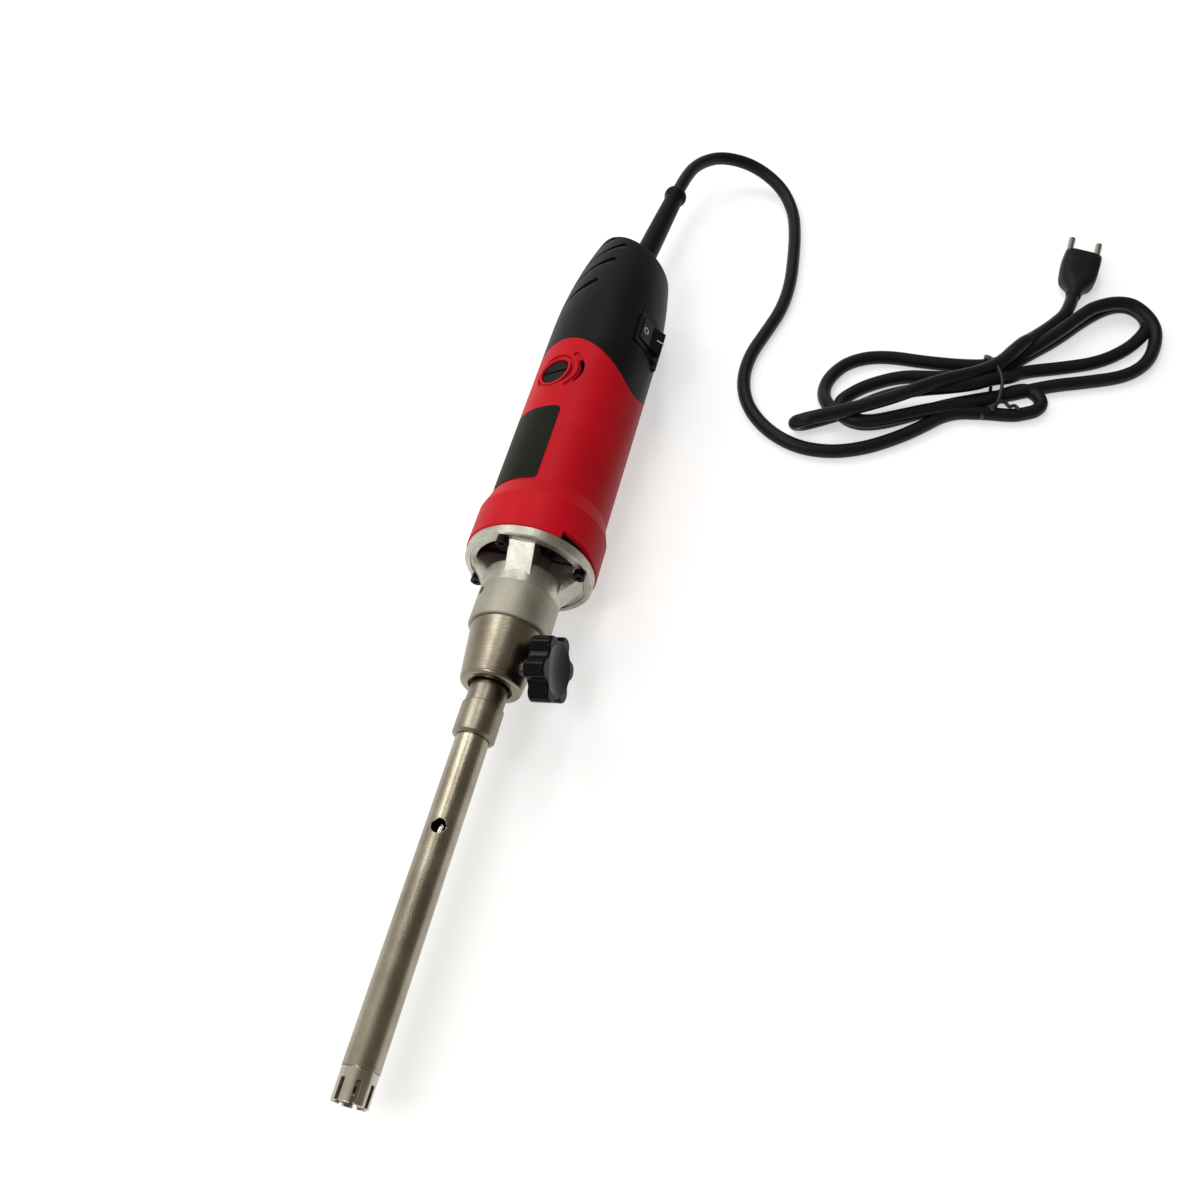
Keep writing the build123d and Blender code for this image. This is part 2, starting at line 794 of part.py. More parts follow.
def behind_seam(radius, mode):
    """Keep or cut what lies on the tail side of the seam that arches round the brush caps."""
    with BuildSketch(seam_plane.offset(-seam_reach)) as region:
        with Locations((-2 * seam_reach, 0)):
            Rectangle(4 * seam_reach, 2 * seam_reach)
        Circle(radius, mode=Mode.SUBTRACT)
    extrude(region.sketch, amount=2 * seam_reach, mode=mode)


def crescent(spread):
    """Spine of the curved air slot beside a brush cap."""
    with BuildLine() as spine:
        CenterArc((0, 0), crescent_radius, 90 - spread / 2, spread)
    return spine.edge()


with BuildPart() as cover_lip:
    ring(seam_apex - lip_length, seam_apex + seam_arc, body_bore + lip_wall, body_bore)
    behind_seam(seam_arc - lip_length, Mode.INTERSECT)

with BuildPart() as boss_relief:
    for plane in brush_planes:
        with BuildSketch(plane.offset(body_bore - 2 * crescent_depth)) as rings:
            Circle(boss_radius)
            Circle(boss_radius - 1.5 * crescent_depth, mode=Mode.SUBTRACT)
            SlotArc(crescent(crescent_angle), crescent_width)
        extrude(rings.sketch, amount=body_radius)
    ring(seam_apex, core_top, body_radius - crescent_depth, mode=Mode.SUBTRACT)

cap_seat = body_radius - cap_sunk - cap_thickness
boss_low = body_bore - boss_depth + 1.0
with BuildPart() as motor_housing:
    turn(
        (flange_top, skirt_bore),
        (flange_top, skirt_radius - 0.8),
        (flange_top - 0.8, skirt_radius),
        (skirt_top, skirt_radius),
        (flare_top, body_radius),
        (seam_apex - 2, body_radius),
        (seam_apex - 2, body_bore),
        (flare_top, body_bore),
        (skirt_top, skirt_bore),
    )
    behind_seam(seam_arc, Mode.SUBTRACT)
    for spot in flange_screw_spots:
        pillar = across_plane(baffle_foot, spot)
        post(pillar, 0, flange_top - register_depth - baffle_foot, screw_boss_radius)
    for plane in brush_planes:
        post(plane, boss_low, body_radius - boss_drop, boss_radius)
    carrier_foot = seam_apex + lip_length + 0.5 * carrier_depth
    for angle in (brush_angle, brush_angle + 180):
        arm = radial_plane((rear_bearing_top + carrier_foot) / 2, angle)
        block(arm, 0, body_bore - wall_gap, carrier_foot - rear_bearing_top, carrier_width)
        root = radial_plane(carrier_foot - carrier_depth / 4, angle)
        block(root, body_bore - 1, body_bore + 1, carrier_depth / 2, carrier_width)
    for angle in cover_screw_angles:
        lug_back = flange_top - cover_screw_back - lug_width / 2
        lug_foot = brush_place
        lug = radial_plane((lug_back + lug_foot) / 2, angle)
        block(lug, body_bore - lug_depth, body_bore - wall_gap, lug_foot - lug_back, lug_width)
        root = radial_plane(lug_foot + lug_depth / 2, angle)
        block(root, body_bore - lug_depth, body_bore + 1, lug_depth, lug_width)
    add(cover_lip.part, mode=Mode.SUBTRACT)
    ring(rear_bearing_top, rear_bearing_foot + carrier_cup_wall, rear_bearing_radius + carrier_cup_wall)
    ring(rear_bearing_top, rear_bearing_foot, rear_bearing_radius, mode=Mode.SUBTRACT)
    ring(rear_bearing_top, commutator_high, core_shaft_radius + bearing_ring, mode=Mode.SUBTRACT)
    add(boss_relief.part, mode=Mode.SUBTRACT)
    for plane in brush_planes:
        post(plane, body_radius - boss_drop, body_radius + 2, boss_radius, Mode.SUBTRACT)
        post(plane, 0, cap_seat, holder_radius, Mode.SUBTRACT)
        post(plane, cap_seat, body_radius + 1, cap_radius + cap_fit, Mode.SUBTRACT)
        with BuildSketch(plane.offset(body_bore - boss_depth)) as opening:
            SlotArc(crescent(crescent_open_angle), crescent_width - 2 * crescent_ledge)
        extrude(opening.sketch, amount=body_radius, mode=Mode.SUBTRACT)
    for spot in flange_screw_spots:
        bore = across_plane(flange_screw_tip - 1, spot)
        post(bore, 0, flange_screw_length, flange_screw_radius, Mode.SUBTRACT)
    for angle in cover_screw_angles:
        hole = radial_plane(flange_top - cover_screw_back, angle)
        post(hole, 0, body_radius, cover_screw_radius, Mode.SUBTRACT)
    skirt_notch(body_bore, skirt_radius + 1)
write(motor_housing, "motor_housing")

# ---------------------------------------------------------------- black rear cover
switch_centre = Vector(flange_top - switch_back, 0, 0) + outward(switch_place_angle) * switch_face_reach
switch_plane = Plane(origin=switch_centre, x_dir=(1, 0, 0), z_dir=outward(switch_face_angle))
tail_axis = Vector(-cos(radians(tail_slant)), sin(radians(tail_slant)), 0)
tail_side = Vector(sin(radians(tail_slant)), cos(radians(tail_slant)), 0)
tail_plane = Plane(origin=(tail_place, tail_shift, 0), x_dir=tail_side, z_dir=tail_axis)
cut_axis = Vector(-cos(radians(tail_cut_slant)), sin(radians(tail_cut_slant)), 0)
cut_plane = Plane(origin=tail_plane.origin, z_dir=cut_axis)
cover_start = seam_apex + seam_arc
cover_limit = tail_place - body_radius * tan(radians(tail_cut_slant))


def cover_radius(place, inset=0.0):
    """Radius of the cover at a station: straight to the bend, then one long arc."""
    past = max(0.0, cover_bend - place)
    arc = cover_arc - inset
    return body_radius - inset - arc + sqrt(arc**2 - past**2)


def cover_form(inset, end):
    """Turn the cover's outline, inset by a wall, and cut its tail off on a slant."""
    middle = (cover_bend + cover_limit) / 2
    with BuildSketch(Plane.XY) as half:
        with BuildLine():
            ThreePointArc(
                (cover_limit, cover_radius(cover_limit, inset)),
                (middle, cover_radius(middle, inset)),
                (cover_bend, body_radius - inset),
            )
            Polyline(
                (cover_bend, body_radius - inset),
                (cover_start, body_radius - inset),
                (cover_start, 0),
                (cover_limit, 0),
                (cover_limit, cover_radius(cover_limit, inset)),
            )
        make_face()
    revolve(half.sketch, axis=Axis.X)
    block(cut_plane, end, 3 * body_radius, 4 * body_radius, 4 * body_radius, Mode.SUBTRACT)


with BuildPart() as cover_cavity:
    cover_form(cover_wall, -tail_wall)

groove_tools = []
for end_place, end_angle in groove_ends:
    with BuildPart() as groove_tool:
        with BuildLine() as groove_path:
            angles = (end_angle, (end_angle + groove_left) / 2, groove_left)
            places = [end_place + groove_slope * (end_angle - angle) / 60 for angle in angles]
            ThreePointArc(*[
                Vector(place, 0, 0) + outward(angle) * cover_radius(place)
                for place, angle in zip(places, angles)
            ])
        path_start = Plane(
            origin=groove_path.line @ 0, x_dir=outward(end_angle), z_dir=groove_path.line % 0
        )
        with BuildSketch(path_start):
            with BuildLine():
                Polyline(
                    (groove_rise, 0), (-groove_depth, 0), (groove_rise, -groove_width), close=True
                )
            make_face()
        sweep()
    groove_tools.append(groove_tool.part)

with BuildPart() as rear_cover:
    cover_form(0, 0)
    behind_seam(seam_arc, Mode.INTERSECT)
    fillet(rear_cover.faces().sort_by(Axis.X)[0].edges(), tail_rounding)
    for tool in groove_tools:
        add(tool, mode=Mode.SUBTRACT)
    pocket_length = bezel_length + 2 * pocket_margin
    pocket_width = bezel_width + 2 * pocket_margin
    block(switch_plane, 0, pocket_height, pocket_length, pocket_width, Mode.SUBTRACT)
    add(cover_cavity.part, mode=Mode.SUBTRACT)
    block(switch_plane, -cover_wall, 0, pocket_length + cover_wall, pocket_width + cover_wall)
    hole_length = switch_body_length + 2 * switch_hole_fit
    hole_width = switch_body_width + 2 * switch_hole_fit
    block(switch_plane, -2 * cover_wall, cover_wall, hole_length, hole_width, Mode.SUBTRACT)
    add(cover_lip.part)
    post(tail_plane, -3 * tail_wall, 2 * tail_wall, relief_base_radius, Mode.SUBTRACT)
    for angle in cover_screw_angles:
        screw_plane = radial_plane(flange_top - cover_screw_back, angle)
        post(screw_plane, body_bore - 1, body_radius, cover_screw_radius, Mode.SUBTRACT)
        post(screw_plane, body_radius - cover_screw_sink, body_radius + 1, cover_screw_head, Mode.SUBTRACT)
write(rear_cover, "rear_cover")

with BuildPart() as cover_screws:
    for angle in cover_screw_angles:
        screw_plane = radial_plane(flange_top - cover_screw_back, angle)
        head_seat = body_radius - cover_screw_sink
        post(screw_plane, head_seat - cover_screw_length, head_seat, cover_screw_radius)
        post(screw_plane, head_seat, head_seat + cover_screw_sink - 0.4, cover_screw_head)
write(cover_screws, "cover_screws")

# ---------------------------------------------------------------- rocker switch
switch_line = Axis(switch_centre, switch_plane.z_dir)
pivot_plane = switch_plane.offset(bezel_height - rocker_pivot_sunk)
rocker_plane = Plane(
    origin=pivot_plane.origin, x_dir=outward(switch_face_angle + 90 - rocker_tilt), z_dir=(1, 0, 0)
)
opening_length = rocker_length + 2 * rocker_fit
opening_width = 2 * (rocker_half + rocker_fit)
with BuildPart() as switch_body:
    with BuildSketch(switch_plane):
        RectangleRounded(bezel_length, bezel_width, bezel_rounding)
    extrude(amount=bezel_height)
    bezel_face = switch_body.faces().filter_by(switch_plane).sort_by(switch_line)[-1]
    chamfer(bezel_face.edges(), bezel_chamfer)
    block(switch_plane, -switch_body_depth, 0, switch_body_length, switch_body_width)
    well = switch_plane.offset(bezel_height)
    block(well, -rocker_well, 0, opening_length, opening_width, Mode.SUBTRACT)
write(switch_body, "switch_body")

with BuildPart() as switch_rocker:
    with BuildSketch(rocker_plane) as rocker_side:
        with BuildLine():
            Polyline(
                (-rocker_half - 1, rocker_tip),
                (0, rocker_valley),
                (rocker_half + 1, rocker_tip),
                (rocker_half + 1, -rocker_tip),
                (0, -2 * rocker_tip + 1),
                (-rocker_half - 1, -rocker_tip),
                close=True,
            )
        make_face()
        Circle(rocker_half, mode=Mode.INTERSECT)
    extrude(amount=rocker_length / 2, both=True)
write(switch_rocker, "switch_rocker")

with BuildPart() as switch_terminals:
    for row in (-0.5, 0.5):
        for column in (-0.5, 0.5):
            spot = switch_plane.from_local_coords(
                Vector(column * terminal_spacing, row * terminal_spacing, -switch_body_depth)
            )
            blade = Plane(origin=spot, x_dir=(1, 0, 0), z_dir=switch_plane.z_dir)
            block(blade, -terminal_length, 0, terminal_width, terminal_thickness)
write(switch_terminals, "switch_terminals")

# ---------------------------------------------------------------- brush gear
brush_low = commutator_radius + brush_gap
brush_high = brush_low + brush_height
holder_low = brush_low + 2.0
with BuildPart() as brush_holders:
    for plane in brush_planes:
        post(plane, holder_low, cap_seat, holder_radius)
        opening = (brush_width + 2 * brush_side_gap, brush_length + 2 * brush_side_gap)
        block(plane, holder_low, cap_seat, *opening, Mode.SUBTRACT)
write(brush_holders, "brush_holders")

with BuildPart() as carbon_brushes:
    for plane in brush_planes:
        block(plane, brush_low, brush_high, brush_width, brush_length)
write(carbon_brushes, "carbon_brushes")

spring_coils = []
spring_height = cap_seat - brush_high - spring_wire
for plane in brush_planes:
    with BuildPart() as spring_coil:
        with BuildLine() as coil_path:
            coil_start = plane.offset(brush_high + spring_wire / 2).origin
            coil_pitch = spring_height / spring_turns
            Helix(coil_pitch, spring_height, spring_radius, center=coil_start, direction=plane.z_dir)
        with BuildSketch(Plane(origin=coil_path.line @ 0, z_dir=coil_path.line % 0)):
            Rectangle(spring_wire, spring_wire)
        sweep()
    spring_coils.append(spring_coil.part)
with BuildPart() as brush_springs:
    for coil in spring_coils:
        add(coil)
write(brush_springs, "brush_springs")

cap_top = cap_seat + cap_thickness
with BuildPart() as brush_caps:
    for plane in brush_planes:
        turn_on(
            plane,
            (cap_seat, 0),
            (cap_seat, cap_radius),
            (cap_top - 0.8, cap_radius),
            (cap_top, cap_radius - 0.8),
            (cap_top, 0),
        )
        block(plane, cap_top - cap_slot_depth, cap_top, cap_slot, 2 * cap_radius, Mode.SUBTRACT)
write(brush_caps, "brush_caps")

# ---------------------------------------------------------------- strain relief, cord and plug
relief_tip = tail_plane.origin + tail_axis * relief_length
relief_lean = radians(tail_cut_slant - tail_slant)
relief_seat = tail_wall / cos(relief_lean) + relief_collar_radius * tan(relief_lean)
with BuildPart() as strain_relief:
    turn_on(
        tail_plane,
        (-relief_seat - relief_collar_length, 0),
        (-relief_seat - relief_collar_length, relief_collar_radius),
        (-relief_seat, relief_collar_radius),
        (-relief_seat, relief_base_radius),
        (0, relief_base_radius),
        (relief_length - relief_bulb_length - 2, relief_tip_radius),
        (relief_length - relief_bulb_length, relief_bulb_radius),
        (relief_length - 2, relief_bulb_radius),
        (relief_length, relief_bulb_radius - 2),
        (relief_length, 0),
    )
write(strain_relief, "strain_relief")

cord_height = bench + cord_radius
cord_points = (
    tuple(relief_tip),
    tuple(relief_tip + tail_axis * cord_first_run),
    (-663, 23.5, -4),
    (-682, 37, -11),
    (-690, 60, -20),
    (-682, 83, -29),
    (-662, 96, cord_height),
    (-638, 101, cord_height),
    (-611, 104, cord_height),
    (-583, 106, cord_height),
    (-556, 104, cord_height),
    (-531, 97, cord_height),
    (-507, 90, cord_height),
    (-483, 89, cord_height),
    (-461, 96, cord_height),
    (-444, 111, cord_height),
    (-434, 131, cord_height),
    (-434, 153, cord_height),
    (-442, 174, cord_height),
    (-455, 193, cord_height),
    (-468, 208, cord_height),
)


def corner_radii(points):
    """Largest fillet at each corner of a route: 0.45 of the shorter run over tan(half turn)."""
    radii = []
    for before, corner, after in zip(points, points[1:], points[2:]):
        arriving = Vector(corner) - Vector(before)
        leaving = Vector(after) - Vector(corner)
        half_turn = radians(arriving.get_angle(leaving)) / 2
        radii.append(0.45 * min(arriving.length, leaving.length) / tan(half_turn))
    return radii


cord_radii = corner_radii(cord_points)
print("cord bend radii:", [round(radius) for radius in cord_radii])
with BuildPart() as mains_cord:
    with BuildLine() as cord_route:
        FilletPolyline(*cord_points, radius=cord_radii)
    with BuildSketch(Plane(origin=cord_route.line @ 0, z_dir=cord_route.line % 0)):
        Circle(cord_radius)
    sweep()
cord_length = sum(edge.length for edge in cord_route.edges())
print(f"cord run {cord_length:.1f} mm, section by length {pi * cord_radius**2 * cord_length:.0f} mm3")
write(mains_cord, "mains_cord")

hank_outline = (
    (-449, 121), (-450, 150), (-450, 174), (-460, 200), (-476, 222), (-487, 243), (-489, 262),
    (-498, 286), (-514, 294), (-528, 302), (-541, 334), (-558, 354), (-584, 364), (-606, 360),
    (-622, 346), (-620, 330), (-607, 315), (-598, 303), (-595, 290), (-570, 273), (-549, 256),
    (-541, 240), (-535, 208), (-533, 178), (-520, 152), (-500, 138), (-474, 131),
)
hank_radii = corner_radii((hank_outline[-1], *hank_outline, hank_outline[0]))
plug_rear = Vector(-612, 301, bench + plug_height / 2)
plug_axis = Vector(-1, 0.12, 0).normalized()
plug_plane = Plane(origin=plug_rear, x_dir=(0, 0, 1), z_dir=plug_axis)
with BuildPart() as cord_hank:
    with BuildSketch(Plane.XY.offset(bench)):
        with BuildLine():
            FilletPolyline(*hank_outline, radius=hank_radii, close=True)
        make_face()
    extrude(amount=hank_height)
    post(plug_plane, -plug_lead, 0, cord_radius)
write(cord_hank, "cord_hank")

with BuildPart() as cord_plug:
    block(plug_plane, 0, plug_length, plug_height, plug_width)
    fillet(cord_plug.edges().filter_by(Axis(plug_rear, plug_axis)), plug_rounding)
write(cord_plug, "cord_plug")

with BuildPart() as plug_pins:
    for side in (-0.5, 0.5):
        spot = plug_plane.from_local_coords(Vector(0, side * plug_pin_spacing, plug_length))
        pin = Plane(origin=spot, x_dir=(0, 0, 1), z_dir=plug_axis)
        post(pin, 0, plug_pin_length, plug_pin_radius)
write(plug_pins, "plug_pins")

tie_centre = Vector(-515, 252, bench + hank_height / 2)
tie_plane = Plane(origin=tie_centre, x_dir=(0, 0, 1), z_dir=Vector(-0.25, 1, 0).normalized())
with BuildPart() as hank_tie:
    block(tie_plane, -tie_width / 2, tie_width / 2, hank_height, tie_span)
    inner_height = hank_height - 2 * tie_wall
    block(tie_plane, -tie_width / 2, tie_width / 2, inner_height, tie_span - 2 * tie_wall, Mode.SUBTRACT)
write(hank_tie, "hank_tie")
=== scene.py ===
"""Looks of a handheld rotor-stator homogenizer with a clamped dispersing tool.

The CAD solids carry the shapes that were turned, cast and moulded. This file dresses
them in their finishes and adds what is too fine or too soft for CAD: the mains lead in
its tied hank, its plug and bend relief, the thread of the clamp stud, the bare rating
plate and the two marks on the rocker. Lengths are in millimetres until a mesh is made,
apart from those that are said to be in metres.
"""

import json
import logging
from collections.abc import Sequence
from dataclasses import dataclass
from enum import Enum
from math import copysign, cos, pi, radians, sin, sqrt, tau
from typing import ClassVar

import bmesh
import bpy
from mathutils import Matrix, Vector

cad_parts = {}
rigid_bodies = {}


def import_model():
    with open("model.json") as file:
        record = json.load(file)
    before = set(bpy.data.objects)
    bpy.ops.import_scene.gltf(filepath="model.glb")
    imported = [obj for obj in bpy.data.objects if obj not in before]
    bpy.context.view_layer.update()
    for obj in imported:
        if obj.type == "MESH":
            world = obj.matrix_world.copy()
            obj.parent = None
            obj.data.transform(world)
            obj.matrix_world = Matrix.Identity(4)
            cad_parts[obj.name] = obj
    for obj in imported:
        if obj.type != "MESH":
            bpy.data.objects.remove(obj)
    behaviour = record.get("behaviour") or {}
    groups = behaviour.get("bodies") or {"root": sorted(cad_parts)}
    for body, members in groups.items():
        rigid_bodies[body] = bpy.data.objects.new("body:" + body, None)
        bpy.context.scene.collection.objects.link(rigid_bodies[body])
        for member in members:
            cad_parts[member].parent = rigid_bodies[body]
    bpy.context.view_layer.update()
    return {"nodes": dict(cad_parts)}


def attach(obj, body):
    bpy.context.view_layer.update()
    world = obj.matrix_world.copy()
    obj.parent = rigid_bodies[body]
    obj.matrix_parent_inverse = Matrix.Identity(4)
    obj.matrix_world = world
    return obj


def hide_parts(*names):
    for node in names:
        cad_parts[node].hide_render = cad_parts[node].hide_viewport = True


LOG = logging.getLogger("homogenizer")
MM = 0.001
Pair = tuple[float, float]
Point = tuple[float, float, float]
Table = tuple[tuple[float, ...], ...]
Piece = bpy.types.Object
Socket = bpy.types.NodeSocket
Tree = bpy.types.NodeTree
Setting = float | int | str | bool | tuple | Socket


# ---------------------------------------------------------------- shared helpers


def linear(hex_colour: str) -> tuple[float, float, float, float]:
    """Turn an sRGB hex colour into the linear colour that shaders use.

    Args:
        hex_colour: Six hex digits after a hash sign.

    Returns:
        Linear red, green and blue, and full alpha.
    """
    knee, slope, offset, power = 0.04045, 12.92, 0.055, 2.4
    shown = [int(hex_colour[i : i + 2], 16) / 255 for i in (1, 3, 5)]
    red, green, blue = [
        c / slope if c <= knee else ((c + offset) / (1 + offset)) ** power for c in shown
    ]
    return (red, green, blue, 1.0)


def metres(spot: Sequence[float]) -> Vector:
    """Turn a spot in millimetres into a vector in metres.

    Args:
        spot: The three coordinates, in millimetres.

    Returns:
        The same spot, in metres.
    """
    return Vector(spot) * MM


def outward(angle: float) -> Vector:
    """Give a direction at right angles to the tool axis.

    Args:
        angle: Degrees from straight up toward +Y.

    Returns:
        The direction, of length one.
    """
    return Vector((0.0, sin(radians(angle)), cos(radians(angle))))


def add_node(
    tree: Tree,
    kind: str,
    settings: dict[str, Setting] | None = None,
    inputs: dict[str | int, Setting] | None = None,
) -> bpy.types.Node:
    """Add one shader node, set it up and link or fill its inputs.

    Args:
        tree: Node tree that gets the node.
        kind: Blender's name of the node, after its ShaderNode prefix.
        settings: Properties of the node, by name.
        inputs: Sockets by name or number, each a value or an output to link.

    Returns:
        The new node.
    """
    node = tree.nodes.new("ShaderNode" + kind)
    for name, value in (settings or {}).items():
        setattr(node, name, value)
    for name, value in (inputs or {}).items():
        if isinstance(value, Socket):
            tree.links.new(value, node.inputs[name])
        else:
            node.inputs[name].default_value = value
    return node


def remap(tree: Tree, value: Socket, given: Pair = (0.0, 1.0), wanted: Pair = (0.0, 1.0)) -> Socket:
    """Move a value from one range to another, without leaving the second.

    Args:
        tree: Node tree that gets the node.
        value: Output to move.
        given: Values that turn into the two ends of the wanted range.
        wanted: The two ends.

    Returns:
        Output with the moved value.
    """
    ends = {"From Min": given[0], "From Max": given[1], "To Min": wanted[0], "To Max": wanted[1]}
    return add_node(tree, "MapRange", None, {"Value": value, **ends}).outputs["Result"]


def blend(tree: Tree, part: Socket, first: Setting, second: Setting) -> Socket:
    """Blend two colours; the node has its colours in sockets 6 and 7 and its result in 2.

    Args:
        tree: Node tree that gets the node.
        part: Output with the part of the second colour, from 0 to 1.
        first: Colour, or an output with one.
        second: Colour, or an output with one.

    Returns:
        Output with the blended colour.
    """
    node = add_node(tree, "Mix", {"data_type": "RGBA"}, {0: part, 6: first, 7: second})
    return node.outputs[2]


def combine(tree: Tree, operation: str, first: Setting, second: Setting) -> Socket:
    """Combine two numbers.

    Args:
        tree: Node tree that gets the node.
        operation: Blender's name of the sum.
        first: Number, or an output with one.
        second: Number, or an output with one.

    Returns:
        Output with the result.
    """
    return add_node(tree, "Math", {"operation": operation}, {0: first, 1: second}).outputs[0]


def place_in_scene(name: str, data: bpy.types.ID) -> Piece:
    """Wrap data in an object and link it to the scene.

    Args:
        name: Name of the object.
        data: Its mesh, curve, lamp or camera.

    Returns:
        The new object.
    """
    piece = bpy.data.objects.new(name, data)
    bpy.context.scene.collection.objects.link(piece)
    return piece


def loft(
    name: str, rings: Sequence[Sequence[Vector]], wrap: bool = False, crease: float = 35.0
) -> Piece:
    """Skin a row of rings that have the same number of points.

    Args:
        name: Name of the piece.
        rings: Rings of points in metres, in order.
        wrap: Whether the last ring joins the first one, otherwise both ends are capped.
        crease: Angle in degrees above which an edge stays sharp.

    Returns:
        The new mesh object, closed, with its faces turned outward.
    """
    work = bmesh.new()
    rows = [[work.verts.new(spot) for spot in ring] for ring in rings]
    pairs = list(zip(rows, rows[1:] + rows[:1])) if wrap else list(zip(rows, rows[1:]))
    for near, far in pairs:
        for i, corner in enumerate(near):
            j = (i + 1) % len(near)
            work.faces.new((corner, near[j], far[j], far[i]))
    if not wrap:
        work.faces.new(rows[0])
        work.faces.new(rows[-1])
    bmesh.ops.recalc_face_normals(work, faces=work.faces)
    mesh = bpy.data.meshes.new(name)
    work.to_mesh(mesh)
    work.free()
    mesh.shade_smooth()
    mesh.set_sharp_from_angle(angle=radians(crease))
    return place_in_scene(name, mesh)


def lay_line(name: str, route: Sequence[Point], radius: float, steps: int, sides: int) -> Piece:
    """Lay a round line along a route as one smooth curve with closed ends.

    Args:
        name: Name of the piece.
        route: Points that steer the curve.
        radius: Radius of the line.
        steps: Pieces of curve between two points of the route.
        sides: Steps in a quarter of the line's round section.

    Returns:
        The new curve object.
    """
    curve = bpy.data.curves.new(name, "CURVE")
    curve.dimensions = "3D"
    curve.resolution_u = steps
    curve.bevel_depth = radius * MM
    curve.bevel_resolution = sides
    curve.use_fill_caps = True
    line = curve.splines.new("NURBS")
    line.points.add(len(route) - 1)
    for knot, spot in zip(line.points, route):
        knot.co = (*metres(spot), 1.0)
    line.order_u = 3
    line.use_endpoint_u = True
    return place_in_scene(name, curve)


def round_rings(
    start: Vector, axis: Vector, profile: Sequence[Pair], count: int = 48
) -> list[list[Vector]]:
    """Turn a profile about an axis.

    Args:
        start: Where the axis starts, in metres.
        axis: Direction of the axis.
        profile: Distance along the axis and radius of each ring.
        count: Points in each ring.

    Returns:
        The rings, in metres.
    """
    along = axis.normalized()
    side = along.orthogonal().normalized()
    over = along.cross(side)
    turns = [tau * i / count for i in range(count)]
    return [
        [start + (along * s + side * (r * cos(t)) + over * (r * sin(t))) * MM for t in turns]
        for s, r in profile
    ]


# ---------------------------------------------------------------- finishes


class Lay(Enum):
    """Way in which a tool's marks run, as stretch of the pattern along X, Y and Z."""

    EVEN = (1.0, 1.0, 1.0)
    ALONG = (0.03, 1.0, 1.0)
    AROUND = (1.0, 0.03, 0.03)


